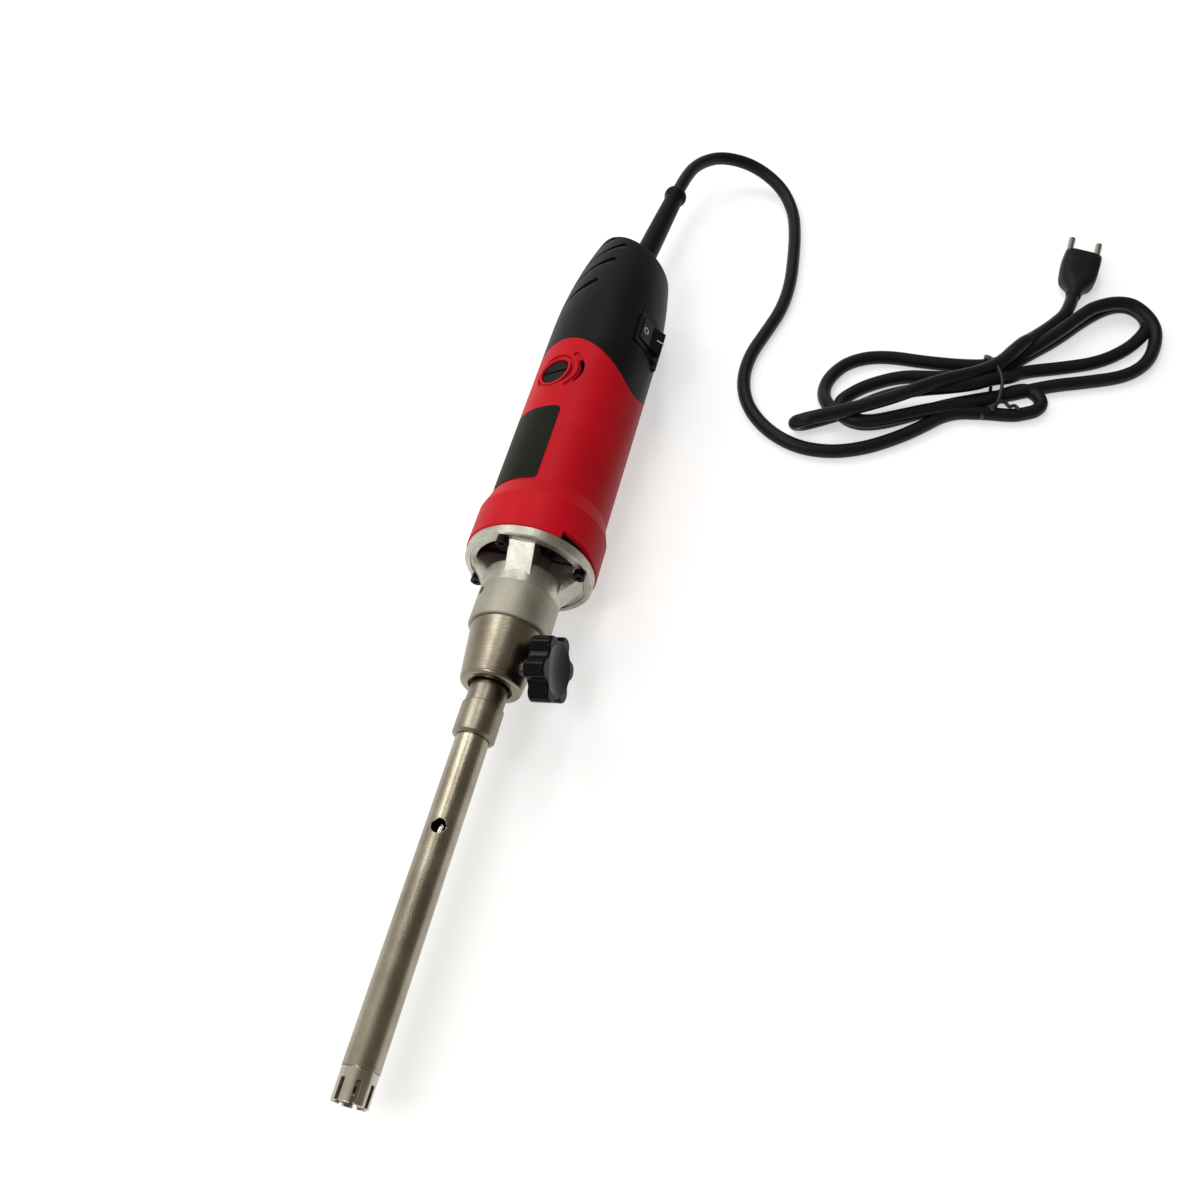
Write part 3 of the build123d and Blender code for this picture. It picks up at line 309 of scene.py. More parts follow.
@dataclass(frozen=True)
class Finish:
    """Material of one substance in one state of surface.

    Args:
        title: Name of the material.
        colour: Colour of the clean surface.
        shade: Colour that its clouds and grain lean toward.
        roughness: Middle roughness.
        grain: Size of the surface grain.
        relief: Depth of the grain.
        lay: Way in which the grain runs.
        patch: Size of the soft clouds in the colour.
        contrast: How much the grain itself colours the surface.
        spread: How far the grain moves the roughness each way.
        rub: Colour of rubbed edges.
        rub_width: Width of the rubbed edge and of the soft edge.
        rub_amount: How much of the rubbed colour shows on the sharpest edges.
        specular: Strength of the mirror reflection of what isn't metal.
        coat: Weight of a clear gloss over the surface.
    """

    metallic: ClassVar[float] = 0.0  # one for metals
    anisotropy: ClassVar[float] = 0.0  # how far the lay stretches the gloss round the X axis
    grain_detail: ClassVar[float] = 3.0
    cloud_detail: ClassVar[float] = 4.0
    cloud_fray: ClassVar[float] = 0.6
    cloud_band: ClassVar[Pair] = (0.35, 0.7)  # clouds below it are clean, above it shaded
    grain_band: ClassVar[Pair] = (0.3, 0.75)  # the same for the grain
    edge_band: ClassVar[Pair] = (0.98, 0.8)  # true against softened normal, sound to rubbed
    edge_samples: ClassVar[int] = 4

    title: str
    colour: str
    shade: str
    roughness: float
    grain: float
    relief: float
    lay: Lay = Lay.EVEN
    patch: float = 22.0
    contrast: float = 0.15
    spread: float = 0.08
    rub: str = "#808080"
    rub_width: float = 0.5
    rub_amount: float = 0.35
    specular: float = 0.4
    coat: float = 0.0

    def pattern(self, tree: Tree, place: Socket) -> Socket:
        """Add the grain's own nodes.

        Args:
            tree: Node tree of the material.
            place: Position on the object, in metres.

        Returns:
            Height of the grain, from 0 to 1.
        """
        per_metre = 1 / (self.grain * MM)
        stretch = tuple(per_metre * k for k in self.lay.value)
        stretched = add_node(
            tree, "VectorMath", {"operation": "MULTIPLY"}, {0: place, 1: stretch}
        )
        noise = add_node(
            tree,
            "TexNoise",
            None,
            {"Vector": stretched.outputs[0], "Scale": 1.0, "Detail": self.grain_detail},
        )
        return noise.outputs["Fac"]

    def tint(self, tree: Tree, place: Socket, height: Socket, turn: Socket) -> Socket:
        """Add the nodes of the colour: clouds, then grain, then rubbed edges.

        Args:
            tree: Node tree of the material.
            place: Position on the object, in metres.
            height: Height of the grain, from 0 to 1.
            turn: Cosine between the true and the softened normal.

        Returns:
            The surface's colour.
        """
        clouds = add_node(
            tree,
            "TexNoise",
            None,
            {
                "Vector": place,
                "Scale": 1 / (self.patch * MM),
                "Detail": self.cloud_detail,
                "Roughness": self.cloud_fray,
            },
        ).outputs["Fac"]
        clean, shaded = linear(self.colour), linear(self.shade)
        cloudy = blend(tree, remap(tree, clouds, self.cloud_band), clean, shaded)
        grainy = remap(tree, height, self.grain_band, (0.0, self.contrast))
        grained = blend(tree, grainy, cloudy, shaded)
        worn = remap(tree, turn, self.edge_band, (0.0, self.rub_amount))
        return blend(tree, worn, grained, linear(self.rub))

    def material(self) -> bpy.types.Material:
        """Build the material, or give the one that was built before.

        Returns:
            The material of this finish.
        """
        known = bpy.data.materials.get(self.title)
        if known:
            return known
        made = bpy.data.materials.new(self.title)
        made.use_nodes = True
        tree = made.node_tree
        tree.nodes.clear()
        place = add_node(tree, "TexCoord").outputs["Object"]
        height = self.pattern(tree, place)
        soft = add_node(
            tree, "Bevel", {"samples": self.edge_samples}, {"Radius": self.rub_width * MM}
        ).outputs["Normal"]
        facing = add_node(tree, "NewGeometry").outputs["Normal"]
        turn = add_node(
            tree, "VectorMath", {"operation": "DOT_PRODUCT"}, {0: soft, 1: facing}
        ).outputs["Value"]
        least, most = self.roughness - self.spread, self.roughness + self.spread
        bump = add_node(
            tree,
            "Bump",
            None,
            {"Strength": 1.0, "Distance": self.relief * MM, "Height": height, "Normal": soft},
        ).outputs["Normal"]
        shader = add_node(
            tree,
            "BsdfPrincipled",
            None,
            {
                "Base Color": self.tint(tree, place, height, turn),
                "Metallic": self.metallic,
                "Roughness": remap(tree, height, wanted=(least, most)),
                "Specular IOR Level": self.specular,
                "Normal": bump,
                "Coat Weight": self.coat,
                "Anisotropic": self.anisotropy,
            },
        )
        if self.anisotropy:
            lathe = add_node(tree, "Tangent", {"direction_type": "RADIAL", "axis": "X"})
            tree.links.new(lathe.outputs["Tangent"], shader.inputs["Tangent"])
        add_node(tree, "OutputMaterial", None, {"Surface": shader.outputs["BSDF"]})
        return made

    def dress(self, *pieces: Piece) -> None:
        """Put the finish on every slot of the pieces.

        Args:
            pieces: Objects that are made of this substance.
        """
        for piece in pieces:
            if not piece.material_slots:
                piece.data.materials.append(self.material())
            for seat in piece.material_slots:
                seat.material = self.material()


@dataclass(frozen=True)
class MouldedPlastic(Finish):
    """Plastic from a polished or spark-eroded mould: even colour, fine dimples, soft edges."""


@dataclass(frozen=True)
class WorkedMetal(Finish):
    """Turned, ground or drawn metal: fine lines that run one way and spread the gloss."""

    rub: str = "#e6e0d4"
    metallic: ClassVar[float] = 1.0
    anisotropy: ClassVar[float] = 0.45


@dataclass(frozen=True)
class CastMetal(Finish):
    """Die-cast or blasted metal: a close speckle of small pits that stays matt."""

    rub: str = "#dedbd2"
    metallic: ClassVar[float] = 1.0

    def pattern(self, tree: Tree, place: Socket) -> Socket:
        """Add the pits as cells of the grain's size.

        Args:
            tree: Node tree of the material.
            place: Position on the object, in metres.

        Returns:
            Height of the pitted surface, from 0 to 1.
        """
        cells = add_node(
            tree, "TexVoronoi", None, {"Vector": place, "Scale": 1 / (self.grain * MM)}
        )
        return cells.outputs["Distance"]


@dataclass(frozen=True)
class LaidMetal(Finish):
    """Metal laid in even rows, such as wound wire, stacked sheets or commutator bars."""

    metallic: ClassVar[float] = 1.0
    band: ClassVar[float] = pi / 10  # width of one band of the wave texture at scale one
    wobble: ClassVar[float] = 0.6  # how far the rows stray from straight

    def pattern(self, tree: Tree, place: Socket) -> Socket:
        """Add the rows as bands of the grain's width.

        Args:
            tree: Node tree of the material.
            place: Position on the object, in metres.

        Returns:
            Height of the rows, from 0 to 1.
        """
        bands = {Lay.AROUND: "X", Lay.ALONG: "Z", Lay.EVEN: "DIAGONAL"}[self.lay]
        scale = self.band / (self.grain * MM)
        rows = add_node(
            tree,
            "TexWave",
            {"bands_direction": bands},
            {"Vector": place, "Scale": scale, "Distortion": self.wobble},
        )
        return rows.outputs["Fac"]


# Austenitic stainless tube, drawn and then brushed lengthwise: long streaks in the gloss.
BRUSHED_TUBE = WorkedMetal(
    "stainless_brushed_lengthwise", "#aea693", "#8a8272", 0.28, 0.35, 0.012, Lay.ALONG,
    patch=30.0, contrast=0.35, rub_amount=0.2,
)
# Stainless bar, turned on a lathe: fine rings, its colour painted a little darker than the tube's
# as painted shade.
TURNED_STEEL_PAINTED_DARKER = WorkedMetal(
    "stainless_turned_painted_darker", "#979080", "#716a5c", 0.33, 0.3, 0.012, Lay.AROUND, contrast=0.35
)
# Stainless head, turned and polished, its colour painted lighter than the tube behind it: a painted
# highlight for the light that the head catches.
POLISHED_HEAD_PAINTED_LIGHTER = WorkedMetal(
    "stainless_polished_head_painted_lighter", "#cac4b6", "#a69f90", 0.22, 0.3, 0.008, Lay.AROUND, contrast=0.25
)
# Ground steel shaft: almost a mirror, with the faintest rings.
GROUND_SHAFT = WorkedMetal(
    "steel_ground_shaft", "#c2bcae", "#a59e8e", 0.16, 0.25, 0.006, Lay.AROUND, contrast=0.2
)
# Milled stainless rotor: satin flats that catch small glints in the slots.
MILLED_ROTOR = WorkedMetal(
    "stainless_milled_rotor", "#a8a08e", "#7c7567", 0.3, 0.4, 0.015, Lay.ALONG, contrast=0.3
)
# Hardened bearing rings: polished, slightly blue.
BEARING_STEEL = WorkedMetal(
    "bearing_steel_polished", "#b9bcc0", "#9a9da2", 0.18, 0.3, 0.006, Lay.AROUND, contrast=0.2
)
# Drawn spring wire, dark from its heat treatment.
SPRING_STEEL = WorkedMetal(
    "spring_steel_drawn", "#77736c", "#4d4a45", 0.3, 0.3, 0.01, contrast=0.3
)
# Brass turned and then nickel plated: warm brownish satin with rings from the lathe.
NICKEL_SOCKET = WorkedMetal(
    "brass_turned_nickel_plated", "#9f9787", "#7f7767", 0.28, 0.5, 0.015, Lay.AROUND, contrast=0.35
)
# Yellow brass pad and terminals, machined.
MACHINED_BRASS = WorkedMetal(
    "brass_machined", "#c2a05a", "#8c6f38", 0.28, 0.4, 0.01, contrast=0.3
)
# Zinc-plated steel stud: bluish, with crests rubbed bright.
ZINC_STUD = WorkedMetal(
    "steel_zinc_plated", "#c9cbcd", "#9fa3a6", 0.22, 0.4, 0.006, contrast=0.25
)
# Anodised aluminium ring, warm grey: a satin skin without streaks.
ANODISED_RING = CastMetal(
    "aluminium_anodised_warm_grey", "#bdb9ab", "#a39f92", 0.58, 0.45, 0.014,
    contrast=0.4, rub="#d6d2c6",
)
# Socket screws in black oxide: near black with grey where the key has rubbed.
BLACK_OXIDE = WorkedMetal(
    "steel_black_oxide", "#1c1b1b", "#0f0e0e", 0.34, 0.4, 0.01, contrast=0.4, rub="#5d5b58"
)
# Aluminium bracket, die cast and blasted: a speckle of half-millimetre pits.
CAST_BRACKET = CastMetal(
    "aluminium_die_cast_blasted", "#d2cfc3", "#9c998e", 0.4, 0.6, 0.035, contrast=0.5,
    spread=0.12, rub="#f4f2ec", rub_amount=0.6,
)
# Sintered steel coupling: matt grey.
SINTERED_COUPLING = CastMetal(
    "steel_sintered", "#8b8880", "#67645d", 0.46, 0.5, 0.02, contrast=0.35
)
# Electrical sheets in a stack, drawn at twice their pitch so that the layers show.
STACKED_SHEETS = LaidMetal(
    "electrical_steel_stacked", "#5b5a5a", "#2f2e2e", 0.45, 1.0, 0.05, Lay.AROUND,
    contrast=0.7, rub="#8a8a8a",
)
# Enamelled copper wire, wound and varnished: red-brown rows with a wet gloss.
WOUND_COPPER = LaidMetal(
    "copper_wire_enamelled", "#8d3f24", "#43190e", 0.3, 0.8, 0.12, Lay.ALONG,
    contrast=0.8, rub="#b8623c", coat=0.5,
)
# Copper commutator bars with mica between them.
COPPER_BARS = LaidMetal(
    "copper_commutator_bars", "#b0704a", "#5a3422", 0.28, 2.2, 0.05, Lay.ALONG,
    contrast=0.7, rub="#d99a70",
)
# ABS in signal red: even in colour, with a soft broad sheen and lighter edges.
ABS_RED = MouldedPlastic(
    "abs_red_gloss", "#cf1022", "#bd0e1d", 0.46, 0.8, 0.006, patch=45.0, contrast=0.06,
    spread=0.04, rub="#e03a4c", rub_width=0.8, rub_amount=0.4, specular=0.1,
)
# Glass-filled polyamide from a spark-eroded mould: black with a fine satin grain.
POLYAMIDE_BLACK = MouldedPlastic(
    "polyamide_black_eroded", "#1a1718", "#131011", 0.46, 0.45, 0.03, patch=35.0,
    contrast=0.25, rub="#383536", rub_width=0.8, specular=0.1,
)
# Phenolic knob from a polished die: black, with small sharp glints.
PHENOLIC_BLACK = MouldedPlastic(
    "phenolic_black_gloss", "#0b090a", "#070606", 0.16, 1.2, 0.006, contrast=0.1,
    spread=0.04, rub="#2a2828", rub_width=0.8, specular=0.1,
)
# Switch housing and rocker: black polyamide, the rocker slightly glossier.
SWITCH_BLACK = MouldedPlastic(
    "polyamide_black_switch", "#131212", "#0d0c0c", 0.38, 0.5, 0.015, rub="#2e2c2c",
    specular=0.1,
)
ROCKER_BLACK = MouldedPlastic(
    "polyamide_black_rocker", "#171616", "#100f0f", 0.32, 0.6, 0.01, rub="#363434",
    specular=0.13,
)
# Brush cap in thermoset, nearly black and warm: matt, with worn edges on the screw slot.
CAP_OLIVE = MouldedPlastic(
    "thermoset_dark_olive", "#171210", "#0f0b09", 0.42, 0.5, 0.02, contrast=0.3, rub="#4a4230",
    specular=0.1,
)
# Bushes in filled PTFE, then the fan, the baffle and the brush holders.
PTFE_BUSH = MouldedPlastic(
    "ptfe_filled_turned", "#cfc8b8", "#b4ad9c", 0.45, 0.4, 0.01, Lay.AROUND, rub="#e6e2d8"
)
NYLON_FAN = MouldedPlastic(
    "polyamide_grey_fan", "#53524f", "#41403d", 0.45, 0.6, 0.02, rub="#7a7975"
)
FIBRE_BAFFLE = MouldedPlastic(
    "vulcanised_fibre_brown", "#4a2a1e", "#331b12", 0.55, 0.9, 0.03, contrast=0.5, rub="#7a4a38"
)
THERMOSET_BROWN = MouldedPlastic(
    "thermoset_brown_holder", "#50301f", "#3a2114", 0.4, 0.6, 0.02, contrast=0.3, rub="#7b5a45"
)
# Pressed carbon brush: matt black with a faint graphite sheen.
PRESSED_CARBON = MouldedPlastic(
    "carbon_pressed", "#2b2a2b", "#1c1b1c", 0.5, 0.5, 0.03, contrast=0.4, rub="#5b5a5b"
)
# PVC lead, extruded: dark charcoal with a satin skin.
PVC_CORD = MouldedPlastic(
    "pvc_charcoal_extruded", "#1b1a1a", "#151414", 0.42, 1.4, 0.02, patch=60.0, contrast=0.2,
    rub="#343232", rub_width=0.3, specular=0.18,
)
# Soft PVC with the mould's fine satin: the relief darker than the lead, the plug lighter.
SOFT_PVC = MouldedPlastic(
    "pvc_soft_black_moulded", "#171616", "#111010", 0.44, 0.6, 0.02, contrast=0.25, rub="#2c2a2a",
    specular=0.1,
)
PLUG_PVC = MouldedPlastic(
    "pvc_plug_black_moulded", "#201f1f", "#171616", 0.42, 0.6, 0.02, contrast=0.25, rub="#383636",
    specular=0.14,
)
# Plastic-covered wire tie: grey-black, thin and slightly glossy.
TIE_PLASTIC = MouldedPlastic(
    "pe_covered_wire_tie", "#2b2a28", "#201f1e", 0.35, 0.8, 0.02, rub="#403e3b"
)
# Nickel-plated brass pins of the plug.
NICKEL_PINS = WorkedMetal(
    "brass_nickel_plated_pins", "#bdb9ae", "#9d998e", 0.2, 0.4, 0.006, contrast=0.2
)
# Polyester plate, screen printed in dark olive and left bare.
PRINTED_PLATE = MouldedPlastic(
    "polyester_plate_dark_olive", "#1c2115", "#171b11", 0.46, 0.5, 0.008, patch=28.0,
    contrast=0.2, rub="#2c3124", rub_width=0.2, specular=0.06,
)
# White marking ink, pad printed.
WHITE_INK = MouldedPlastic(
    "ink_white_pad_printed", "#dcdcd8", "#c4c4c0", 0.5, 0.3, 0.006, contrast=0.3,
    rub="#e8e8e4", rub_width=0.1,
)


@dataclass(frozen=True)
class MattSweep(Finish):
    """White studio sheet, matt, which glows a little for the rays that look at it.

    Args:
        fill: Strength of that glow.
    """

    fill: float = 0.55

    def material(self) -> bpy.types.Material:
        """Build the sheet with its glow.

        Returns:
            The material of the sheet.
        """
        made = super().material()
        tree = made.node_tree
        rays = add_node(tree, "LightPath").outputs
        seen = combine(tree, "MAXIMUM", rays["Is Camera Ray"], rays["Is Glossy Ray"])
        looked = combine(tree, "MAXIMUM", seen, rays["Is Transmission Ray"])
        own = combine(tree, "MULTIPLY", looked, self.fill)
        shader = next(n for n in tree.nodes if n.type == "BSDF_PRINCIPLED")
        shader.inputs["Emission Color"].default_value = (1.0, 1.0, 1.0, 1.0)
        tree.links.new(own, shader.inputs["Emission Strength"])
        return made


STUDIO_WHITE = MattSweep(
    "paper_white_matt", "#d6d6d6", "#d4d4d4", 0.8, 0.6, 0.005, contrast=0.05, rub="#d6d6d6",
    specular=0.0,
)


# ---------------------------------------------------------------- tool and clamp


Looks = ClassVar[dict[str, Finish]]


@dataclass
class SubAssembly:
    """Group of CAD parts that belong together, with what is added to them.

    Args:
        nodes: All CAD parts, by name.
        looks: Finish of each CAD part of the group, by name.
    """

    nodes: dict[str, Piece]
    looks: Looks = {}

    def dress(self) -> None:
        """Give each CAD part of the group its finish."""
        for name, finish in self.looks.items():
            finish.dress(self.nodes[name])


@dataclass
class DispersingTool(SubAssembly):
    """Stator tube with its slotted head, the rotor in it and the shaft that drives it."""

    looks: Looks = {
        "stator_tube": BRUSHED_TUBE,
        # painted shade: the sleeve wears a darker copy of the stainless steel
        "tool_sleeve": TURNED_STEEL_PAINTED_DARKER,
        # painted highlight: the head wears a lighter copy of the stainless steel
        "stator_head": POLISHED_HEAD_PAINTED_LIGHTER,
        "rotor": MILLED_ROTOR,
        "rotor_nut": MILLED_ROTOR,
        "drive_shaft": GROUND_SHAFT,
        "lower_bush": PTFE_BUSH,
        "mid_bush": PTFE_BUSH,
        "tool_bearing_outer": BEARING_STEEL,
        "tool_bearing_inner": BEARING_STEEL,
        "bearing_circlip": SPRING_STEEL,
    }


@dataclass
class ClampKnob(SubAssembly):
    """Knob, stud and pad that hold the tool in the cone socket.

    Args:
        station: Where the stud stands on the tool's axis.
        lean: Direction of the stud, in degrees from up toward +Y.
        foot: Distance of the stud's inner end from the axis.
        top: Distance of its outer end.
        radius: Radius of the thread's crests.
        pitch: Climb of the thread in one turn.
        depth: Depth of the thread and of the chamfers at its ends.
        steps: Rings in one pitch.
        sides: Points in one ring.
    """

    looks: Looks = {
        "star_knob": PHENOLIC_BLACK,
        "clamp_pad": MACHINED_BRASS,
        "cone_socket": NICKEL_SOCKET,
        "clamp_ring": ANODISED_RING,
        "ring_set_screws": BLACK_OXIDE,
    }
    station: float = -212.1
    lean: float = 71.0
    foot: float = 13.6
    top: float = 31.0
    radius: float = 4.0
    pitch: float = 1.25
    depth: float = 0.62
    steps: int = 12
    sides: int = 40

    def build_stud(self) -> Piece:
        """Cut the stud's thread as one climbing ridge.

        Returns:
            The threaded stud, which stands for the plain CAD one.
        """
        along = outward(self.lean)
        side = Vector((1.0, 0.0, 0.0))
        over = along.cross(side)
        base = metres((self.station, 0.0, 0.0))
        count = round((self.top - self.foot) / self.pitch * self.steps)
        rings = []
        for i in range(count + 1):
            s = (self.top - self.foot) * i / count
            end = min(s, self.top - self.foot - s)
            crest = self.radius - max(0.0, self.depth - end)
            ring = []
            for k in range(self.sides):
                turn = tau * k / self.sides
                phase = (s / self.pitch - k / self.sides) % 1.0
                groove = self.depth * (1 - abs(2 * phase - 1))
                reach = min(crest, self.radius - groove)
                aside = side * (reach * cos(turn)) + over * (reach * sin(turn))
                ring.append(base + (along * (self.foot + s) + aside) * MM)
            rings.append(ring)
        stud = loft("threaded_stud", rings, crease=60.0)
        ZINC_STUD.dress(stud)
        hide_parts("knob_stud")
        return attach(stud, "knob")


# ---------------------------------------------------------------- motor unit


@dataclass
class MotorUnit(SubAssembly):
    """Bracket, red housing and rear cover, with the bare rating plate.

    Args:
        plate_radius: Radius of the housing under the plate.
        plate_proud: How far the plate stands out of the housing.
        plate_sunk: How far its underside lies in the housing.
        plate_from: Rear end along the tool's axis.
        plate_to: Front end.
        plate_low: Direction of one side edge, in degrees from up toward +Y.
        plate_high: Direction of the other side edge.
        plate_corner: Radius of the corners.
        plate_steps: Strips round the housing, closer together near the side edges.
    """

    looks: Looks = {
        "motor_housing": ABS_RED,
        "rear_cover": POLYAMIDE_BLACK,
        "front_bracket": CAST_BRACKET,
        "flange_screws": BLACK_OXIDE,
        "cover_screws": BLACK_OXIDE,
        "brush_caps": CAP_OLIVE,
    }
    plate_radius: float = 35.0
    plate_proud: float = 0.35
    plate_sunk: float = 0.2
    plate_from: float = -372.0
    plate_to: float = -316.5
    plate_low: float = -64.0
    plate_high: float = -9.0
    plate_corner: float = 3.0
    plate_steps: int = 56

    def build_plate(self) -> Piece:
        """Bend the rating plate round the housing, with rounded corners.

        Returns:
            The plate, a thin shell that sits on the housing.
        """
        low, high = self.plate_low, self.plate_high
        arc = radians(high - low) * self.plate_radius
        inner = self.plate_radius - self.plate_sunk
        outer = self.plate_radius + self.plate_proud
        rings = []
        for i in range(self.plate_steps + 1):
            part = (1 - cos(pi * i / self.plate_steps)) / 2
            edge = min(part, 1 - part) * arc
            dip = max(0.0, self.plate_corner - edge)
            cut = self.plate_corner - sqrt(max(0.0, self.plate_corner**2 - dip**2))
            near, far = self.plate_from + cut, self.plate_to - cut
            across = outward(low + part * (high - low))
            corners = ((near, inner), (far, inner), (far, outer), (near, outer))
            rings.append([(across * r + Vector((x, 0.0, 0.0))) * MM for x, r in corners])
        plate = loft("rating_plate", rings, crease=40.0)
        PRINTED_PLATE.dress(plate)
        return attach(plate, "motor_unit")


@dataclass
class MotorInside(SubAssembly):
    """Armature, field, brushes and fan, hidden or barely seen through the bracket."""

    looks: Looks = {
        "motor_shaft": GROUND_SHAFT,
        "armature_core": STACKED_SHEETS,
        "field_core": STACKED_SHEETS,
        "armature_windings": WOUND_COPPER,
        "field_coils": WOUND_COPPER,
        "commutator": COPPER_BARS,
        "cooling_fan": NYLON_FAN,
        "air_baffle": FIBRE_BAFFLE,
        "drive_coupling": SINTERED_COUPLING,
        "brush_holders": THERMOSET_BROWN,
        "carbon_brushes": PRESSED_CARBON,
        "brush_springs": SPRING_STEEL,
        "front_bearing_outer": BEARING_STEEL,
        "front_bearing_inner": BEARING_STEEL,
        "rear_bearing_outer": BEARING_STEEL,
        "rear_bearing_inner": BEARING_STEEL,
    }


@dataclass
class RockerSwitch(SubAssembly):
    """Mains switch in the rear cover, with its round and straight marks.

    Args:
        pivot: Middle of the rocker's hinge.
        face: Direction in which the switch looks, in degrees from up toward +Y.
        mark_at: Distance of each mark from the pivot.
        ring_outer: Outer radius of the off mark.
        ring_inner: Inner radius of the off mark.
        bar_half: Half the length of the on mark without its round ends.
        bar_width: Radius of those ends.
        proud: Height of the ink above the rocker.
        reach: Distance from which the rocker's surface is looked for.
        sides: Points in one outline.
    """

    looks: Looks = {
        "switch_body": SWITCH_BLACK,
        "switch_rocker": ROCKER_BLACK,
        "switch_terminals": MACHINED_BRASS,
    }
    pivot: Point = (-455.0, 29.17, 17.26)
    face: float = 54.0
    mark_at: float = 6.0
    ring_outer: float = 2.3
    ring_inner: float = 1.5
    bar_half: float = 2.3
    bar_width: float = 0.45
    proud: float = 0.12
    reach: float = 30.0
    sides: int = 40

    def seat(self, along: float) -> tuple[Vector, Vector]:
        """Find the rocker's surface under a mark.

        Args:
            along: Distance from the pivot toward the lower end.

        Returns:
            The spot on the surface, in metres, and the surface's outward direction.
        """
        ray = outward(self.face)
        origin = metres(self.pivot) + (outward(self.face + 90) * along + ray * self.reach) * MM
        hit, spot, normal, _ = self.nodes["switch_rocker"].ray_cast(origin, -ray)
        if not hit:
            LOG.warning("no rocker surface under a mark at %.1f mm", along)
            return origin, ray
        return spot, normal

    def build_mark(self, name: str, along: float, outlines: Sequence[Sequence[Pair]]) -> Piece:
        """Raise one printed mark from the rocker.

        Args:
            name: Name of the piece.
            along: Distance from the pivot toward the lower end.
            outlines: One outline for a solid mark, or an outer and an inner one.

        Returns:
            The mark, riding on the rocker.
        """
        spot, up = self.seat(along)
        axis = Vector((1.0, 0.0, 0.0))
        down = axis.cross(up).normalized()
        rise = (-self.proud, self.proud)
        steps = [(outlines[0], level) for level in rise]
        steps += [(outline, level) for outline in outlines[1:] for level in reversed(rise)]
        rings = [
            [spot + (axis * a + down * b + up * level) * MM for a, b in outline]
            for outline, level in steps
        ]
        mark = loft(name, rings, wrap=len(outlines) > 1)
        WHITE_INK.dress(mark)
        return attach(mark, "rocker")

    def build_marks(self) -> list[Piece]:
        """Print the off ring on the upper end and the on bar on the lower one.

        Returns:
            The two marks.
        """
        turns = [tau * k / self.sides for k in range(self.sides)]
        radii = (self.ring_outer, self.ring_inner)
        ring = [[(r * cos(t), r * sin(t)) for t in turns] for r in radii]
        wide, half = self.bar_width, self.bar_half
        bar = [(wide * cos(t), wide * sin(t) + (half if sin(t) > 0 else -half)) for t in turns]
        return [
            self.build_mark("off_mark", -self.mark_at, ring),
            self.build_mark("on_mark", self.mark_at, [bar]),
        ]


# ---------------------------------------------------------------- mains lead


